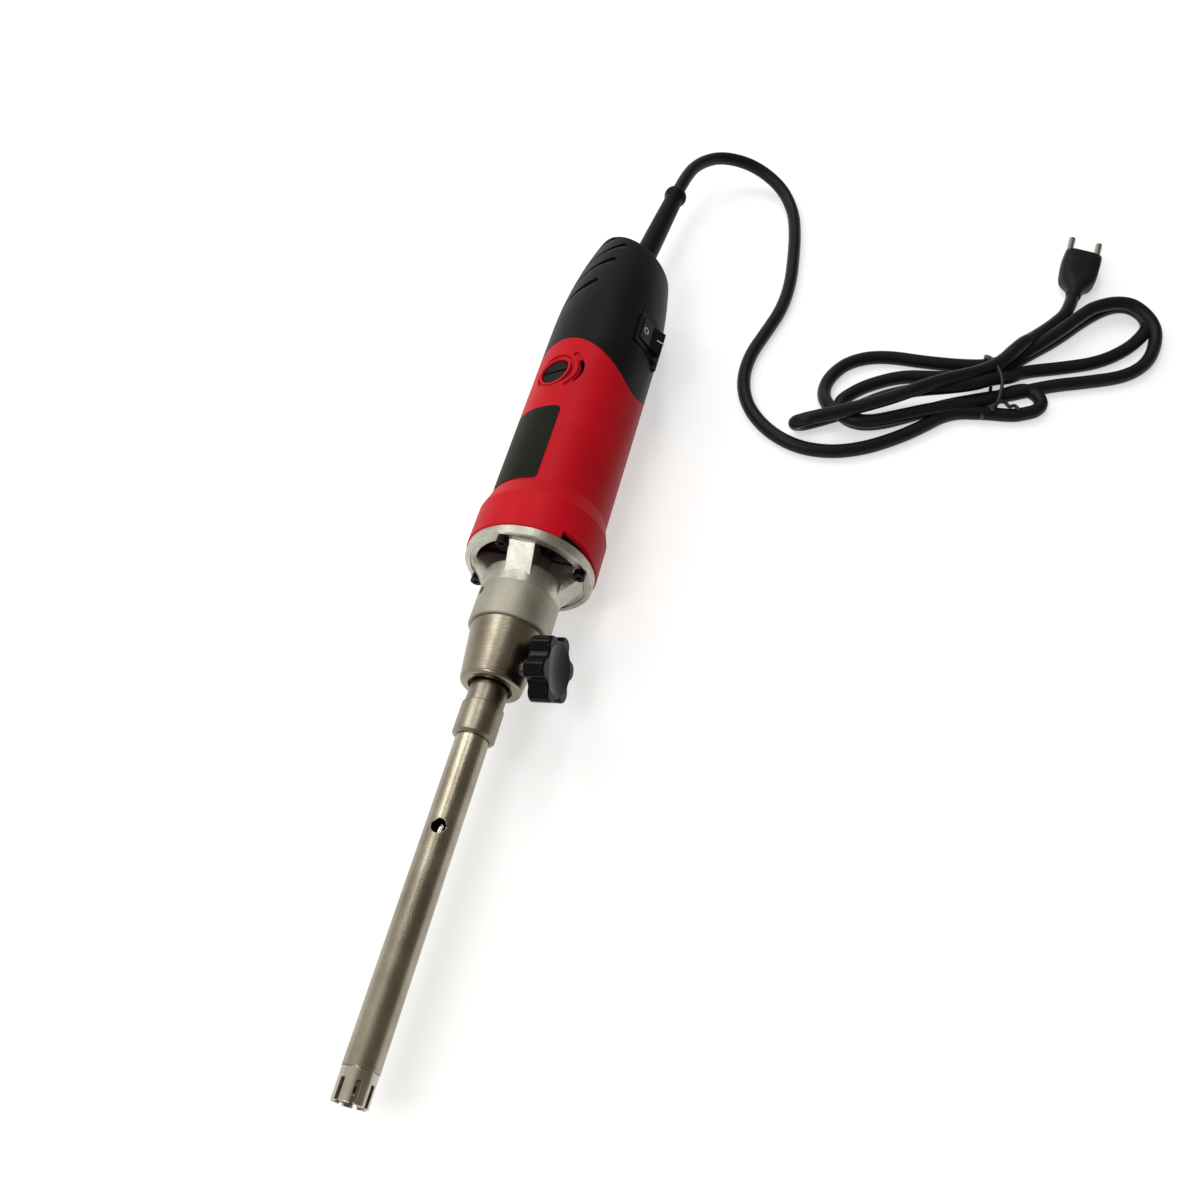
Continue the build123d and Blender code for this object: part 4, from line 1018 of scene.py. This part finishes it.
@dataclass
class MainsLead(SubAssembly):
    """Lead from the bend relief through its tied hank to the plug.

    Args:
        radius: Radius of the lead.
        length: Length of the lead, in metres; not used.
        relief_start: Where the relief's axis leaves the rear cover.
        relief_axis: Direction of the relief.
        relief_profile: Distance along that axis and radius.
        plug_start: Middle of the plug's rear end.
        plug_axis: Direction of the plug.
        plug_stations: Distance along it, half width, half height and squareness.
        plug_sides: Points in one ring of the plug.
        rib_from: Where the plug's grip ribs start.
        rib_to: Where they end.
        rib_pitch: Distance from rib to rib.
        rib_depth: Depth between two ribs.
        rib_step: Distance from ring to ring along the ribs.
        tie_radius: Radius of the wire tie.
        tie_route: Points that steer the tie.
        table_level: Height of the lead's middle where it lies on the table.
        route: Points that steer the lead; those on the table give X and Y alone.
    """

    looks: Looks = {"plug_pins": NICKEL_PINS}
    radius: float = 4.5
    length: float = 2.09
    relief_start: Point = (-533.0, 4.7, 0.0)
    relief_axis: Point = (-0.99396, 0.10973, 0.0)
    relief_profile: tuple[Pair, ...] = (
        # collar inside the cover, then the long taper
        (-11.2, 9.4), (-10.8, 9.8), (-7.8, 9.8), (-7.5, 9.4), (-7.4, 7.5), (2.0, 7.5),
        (12.0, 7.5), (24.0, 7.4), (36.0, 7.2), (48.0, 6.95), (60.0, 6.7), (70.0, 6.45),
        # bulb and the lip round the lead
        (76.0, 6.35), (77.8, 6.4), (78.9, 6.9), (79.9, 7.5), (81.3, 7.9), (82.8, 7.95),
        (84.2, 7.6), (85.2, 6.9), (85.8, 6.0), (86.0, 5.1), (85.6, 4.4), (84.6, 4.05),
    )
    plug_start: Point = (-612.0, 301.0, -29.3)
    plug_axis: Point = (-0.993, 0.119, 0.0)
    plug_stations: Table = (
        (0.0, 4.6, 4.6, 2.0), (0.4, 5.0, 5.0, 2.0), (3.0, 5.3, 5.2, 2.0), (6.0, 5.9, 5.6, 2.1),
        (9.0, 7.2, 6.4, 2.4), (12.0, 9.2, 7.4, 2.8), (15.0, 11.2, 8.3, 3.2),
        (18.0, 12.3, 8.8, 3.6), (24.0, 12.7, 8.9, 4.0), (31.0, 12.9, 9.0, 4.4),
        (38.0, 13.0, 9.0, 4.8), (40.6, 12.9, 8.9, 4.8), (41.6, 12.4, 8.4, 4.6),
        (42.0, 11.6, 7.6, 4.4),
    )
    plug_sides: int = 56
    rib_from: float = 17.0
    rib_to: float = 31.0
    rib_pitch: float = 2.8
    rib_depth: float = 0.55
    rib_step: float = 0.35
    tie_radius: float = 1.2
    tie_route: tuple[Point, ...] = (
        # once round the bundle
        (-487, 247, -30), (-486, 247, -36), (-500, 250, -37), (-522, 253, -37),
        (-538, 248, -36.8), (-542, 246, -33), (-539, 245, -28), (-530, 249, -21.6),
        (-520, 254, -21.4), (-511, 257, -23), (-500, 256, -28), (-492, 254, -29),
        # twisted ends
        (-490, 251, -27), (-496, 255, -26), (-499, 260, -27), (-495, 263, -28),
        (-499, 267, -28), (-495, 270, -29),
    )
    table_level: float = -33.8
    route: Table = (
        # out of the relief, down to the table and round to the hank
        (-618.48, 14.14, 0), (-641.34, 16.66, 0), (-663, 23.5, -4), (-682, 37, -11),
        (-690, 60, -20), (-682, 83, -29), (-662, 96), (-638, 101), (-611, 104), (-583, 106),
        (-556, 104), (-531, 97), (-507, 90), (-483, 89), (-461, 96), (-444, 111), (-434, 131),
        (-434, 153), (-442, 174), (-455, 193), (-468, 208),
        # first pass through the tie and the small loop right of it
        (-487, 226), (-492, 249), (-494, 267), (-498, 275), (-502, 282), (-509, 285.5),
        (-516.5, 282), (-519.5, 275), (-517, 268), (-510, 258),
        # back through the tie and round the outer left loop
        (-499, 246, -32.4), (-484, 216, -29.1), (-468, 193, -25.8), (-457, 174, -25),
        (-459, 158, -25.8), (-470, 147, -29.1), (-485, 143), (-500, 145.5), (-517, 156),
        (-528, 177), (-529, 212), (-534, 245.5),
        # outer right loop
        (-541, 258, -32.4), (-550, 272, -29.1), (-571, 292, -25), (-593, 308, -25),
        (-600, 314, -25), (-609, 328, -25), (-611, 342, -25.8), (-600, 357, -30.2), (-584, 359),
        (-563, 353), (-547, 338), (-536, 313), (-527, 290),
        # through the tie and round the inner left loop
        (-511, 262), (-506, 250), (-492, 222), (-477, 200), (-466, 182), (-462.5, 168),
        (-467.5, 157), (-478, 154.5), (-488, 161), (-499, 172), (-512, 192.5), (-516, 213),
        (-523, 245),
        # inner right loop
        (-533, 258), (-550, 272), (-571, 292), (-593, 308), (-612, 325.5), (-617.5, 339),
        (-611.5, 350), (-600, 354), (-588, 349), (-573, 339), (-556.5, 321), (-545, 296),
        (-534, 271, -32.4), (-523, 262, -29.1),
        # over the bundle to the tight fold at its left end
        (-516, 251, -25), (-505, 235, -25), (-490, 190, -25.8), (-468, 161, -30),
        (-457, 140, -33.4), (-453.5, 133), (-449, 129, -29.5), (-445.5, 129.5, -23.5),
        (-445, 134.5, -19.2), (-448, 141, -18.2), (-457, 159, -17.2), (-475, 188, -16.5),
        (-498, 214, -18.1), (-525, 251, -25),
        # lead to the plug
        (-548, 266, -20.3), (-562, 275, -26.9), (-582, 289.5, -29.3), (-598, 299, -29.3),
        (-618, 301.7, -29.3),
    )

    def build_lead(self) -> Piece:
        """Lay the lead along its route as one smooth line.

        Returns:
            The lead, one round curve from the relief to the plug.
        """
        spots = [(*spot, self.table_level)[:3] for spot in self.route]
        lead = lay_line("mains_lead", spots, self.radius, steps=10, sides=5)
        PVC_CORD.dress(lead)
        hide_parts("mains_cord", "cord_hank")
        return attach(lead, "motor_unit")

    def build_relief(self) -> Piece:
        """Turn the tapered bend relief with the bulb at its end.

        Returns:
            The relief, from the cover to the lead's exit.
        """
        start, axis = metres(self.relief_start), Vector(self.relief_axis)
        rings = round_rings(start, axis, self.relief_profile)
        relief = loft("bend_relief", rings, crease=55.0)
        SOFT_PVC.dress(relief)
        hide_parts("strain_relief")
        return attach(relief, "motor_unit")

    def plug_section(self, along: float) -> tuple[float, float, float]:
        """Find the plug's section at one distance from its rear end.

        Args:
            along: The distance.

        Returns:
            Half width, half height and squareness.
        """
        stations = self.plug_stations
        before, after = next(
            (a, b) for a, b in zip(stations, stations[1:]) if a[0] <= along <= b[0]
        )
        part = (along - before[0]) / (after[0] - before[0])
        wide, tall, power = (a + (b - a) * part for a, b in zip(before[1:], after[1:]))
        waist = 0.0
        if self.rib_from < along < self.rib_to:
            phase = tau * (along - self.rib_from) / self.rib_pitch
            waist = self.rib_depth * (1 - cos(phase)) / 2
        return wide - waist, tall - waist, power

    def build_plug(self) -> Piece:
        """Loft the moulded plug with its grip ribs and flat face.

        Returns:
            The plug, around the CAD pins.
        """
        along = Vector(self.plug_axis).normalized()
        side = Vector((-along.y, along.x, 0.0))
        up = Vector((0.0, 0.0, 1.0))
        start = metres(self.plug_start)
        count = int((self.rib_to - self.rib_from) / self.rib_step) + 1
        ribs = {self.rib_from + self.rib_step * k for k in range(count)}
        rings = []
        for s in sorted({station[0] for station in self.plug_stations} | ribs):
            wide, tall, power = self.plug_section(s)
            ring = []
            for k in range(self.plug_sides):
                turn = tau * k / self.plug_sides
                x = wide * copysign(abs(cos(turn)) ** (2 / power), cos(turn))
                y = tall * copysign(abs(sin(turn)) ** (2 / power), sin(turn))
                ring.append(start + (along * s + side * x + up * y) * MM)
            rings.append(ring)
        plug = loft("lead_plug", rings, crease=50.0)
        PLUG_PVC.dress(plug)
        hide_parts("cord_plug")
        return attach(plug, "motor_unit")

    def build_tie(self) -> Piece:
        """Wind the wire tie once round the hank and twist its ends.

        Returns:
            The tie, one thin curve.
        """
        tie = lay_line("lead_tie", self.tie_route, self.tie_radius, steps=8, sides=3)
        TIE_PLASTIC.dress(tie)
        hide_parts("hank_tie")
        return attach(tie, "motor_unit")

    def build(self) -> list[Piece]:
        """Returns:
            The lead, the relief, the plug and the tie.
        """
        lead = self.build_lead()
        relief, plug, tie = self.build_relief(), self.build_plug(), self.build_tie()
        return [lead, relief, plug, tie]


# ---------------------------------------------------------------- studio


@dataclass(frozen=True)
class SoftLamp:
    """Area lamp that looks at the motor unit.

    Args:
        name: Name of the lamp.
        toward: Direction from the object to the lamp.
        size: Width and length of the lamp, in metres.
        watts: Power of the lamp.
    """

    name: str
    toward: Point
    size: Pair
    watts: float

    def hang(self, aim: Vector, distance: float) -> None:
        """Hang the lamp.

        Args:
            aim: Spot that the lamp looks at, in metres.
            distance: Distance from that spot, in metres.
        """
        lamp = bpy.data.lights.new(self.name, "AREA")
        lamp.shape = "RECTANGLE"
        lamp.size, lamp.size_y = self.size
        lamp.energy = self.watts
        way = Vector(self.toward).normalized()
        turned = way.to_track_quat("Z", "Y").to_matrix().to_4x4()
        holder = place_in_scene(self.name, lamp)
        holder.matrix_world = Matrix.Translation(aim + way * distance) @ turned


@dataclass
class Studio:
    """White sheet, three soft lamps over the object and a plain room around them.

    Args:
        floor_level: Height of the sheet.
        floor_half: Half the width of the sheet.
        room_bright: Colour of the room on the -Y side.
        room_dark: Colour of the room on the +Y side.
        room_turn: How far toward +Y the one starts and ends turning into the other.
        lamps: The lamps.
        lamp_aim: Spot that they look at.
        lamp_distance: Their distance from it, in metres.
    """

    floor_level: float = -38.3
    floor_half: float = 4000.0
    room_bright: str = "#dedcd7"
    room_dark: str = "#77726a"
    room_turn: Pair = (-0.45, 0.25)
    lamps: tuple[SoftLamp, ...] = (
        SoftLamp("soft_lamp_above", (-0.53, -0.12, 0.84), (0.2, 0.9), 3.6),
        SoftLamp("soft_lamp_side", (-0.35, -0.60, 0.70), (0.2, 0.9), 3.6),
        SoftLamp("soft_lamp_front", (0.43, -0.30, 0.85), (0.4, 0.4), 5.0),
    )
    lamp_aim: Point = (-260.0, 60.0, 0.0)
    lamp_distance: float = 1.5

    def build_floor(self) -> None:
        """Lay the white sheet that the object stands on."""
        half, level = self.floor_half * MM, self.floor_level * MM
        square = ((-half, -half), (half, -half), (half, half), (-half, half))
        mesh = bpy.data.meshes.new("studio_floor")
        mesh.from_pydata([(x, y, level) for x, y in square], [], [(0, 1, 2, 3)])
        floor = place_in_scene("studio_floor", mesh)
        STUDIO_WHITE.dress(floor)

    def build_room(self) -> None:
        """Light the room evenly, brighter on one side than on the other."""
        world = bpy.data.worlds.new("plain_room")
        world.use_nodes = True
        tree = world.node_tree
        tree.nodes.clear()
        way = add_node(tree, "TexCoord").outputs["Generated"]
        parts = add_node(tree, "SeparateXYZ", None, {0: way})
        side = remap(tree, parts.outputs["Y"], self.room_turn)
        side.node.interpolation_type = "SMOOTHSTEP"
        shade = blend(tree, side, linear(self.room_bright), linear(self.room_dark))
        light = add_node(tree, "Background", None, {"Color": shade, "Strength": 1.0})
        add_node(tree, "OutputWorld", None, {"Surface": light.outputs[0]})
        bpy.context.scene.world = world

    def build(self) -> None:
        """Set up the floor, the room and the lamps."""
        self.build_floor()
        self.build_room()
        for lamp in self.lamps:
            lamp.hang(metres(self.lamp_aim), self.lamp_distance)
        bpy.context.scene.view_settings.view_transform = "Standard"


@dataclass
class Viewpoint:
    """Camera above the tip of the tool, looking back along it.

    Args:
        spot: Where the camera stands.
        azimuth: Turn about the upright axis, in degrees.
        elevation: How far it looks down, in degrees.
        lens: Focal length and width of the sensor alike.
        clip: Nearest and farthest distance that is seen, in metres.
    """

    spot: Point = (88.2, 130.9, 559.7)
    azimuth: float = 103.8
    elevation: float = 56.8
    lens: float = 36.0
    clip: Pair = (0.01, 50.0)

    def build(self) -> None:
        """Set up the camera and make it the scene's own."""
        turn, tilt = radians(self.azimuth), radians(self.elevation)
        right = Vector((cos(turn), sin(turn), 0.0))
        ahead = Vector((-sin(turn) * cos(tilt), cos(turn) * cos(tilt), -sin(tilt)))
        up = right.cross(ahead)
        lens = bpy.data.cameras.new("viewpoint")
        lens.sensor_width = self.lens
        lens.lens = self.lens
        lens.clip_start, lens.clip_end = self.clip
        camera = place_in_scene("viewpoint", lens)
        stand = Matrix((right, up, -ahead)).transposed().to_4x4()
        camera.matrix_world = Matrix.Translation(metres(self.spot)) @ stand
        bpy.context.scene.camera = camera


def main() -> None:
    """Load the frame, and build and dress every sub-assembly."""
    logging.basicConfig(level=logging.INFO, format="%(message)s")
    for leftover in list(bpy.data.objects):
        bpy.data.objects.remove(leftover)
    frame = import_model()
    nodes = frame["nodes"]
    Viewpoint().build()
    Studio().build()
    lead, clamp, motor, switch = (
        kind(nodes) for kind in (MainsLead, ClampKnob, MotorUnit, RockerSwitch)
    )
    for part in (DispersingTool(nodes), MotorInside(nodes), lead, clamp, motor, switch):
        part.dress()
    pieces = [*lead.build(), clamp.build_stud(), motor.build_plate(), *switch.build_marks()]
    for piece in pieces:
        LOG.info("built %s", piece.name)


if __name__ == "__main__":
    main()
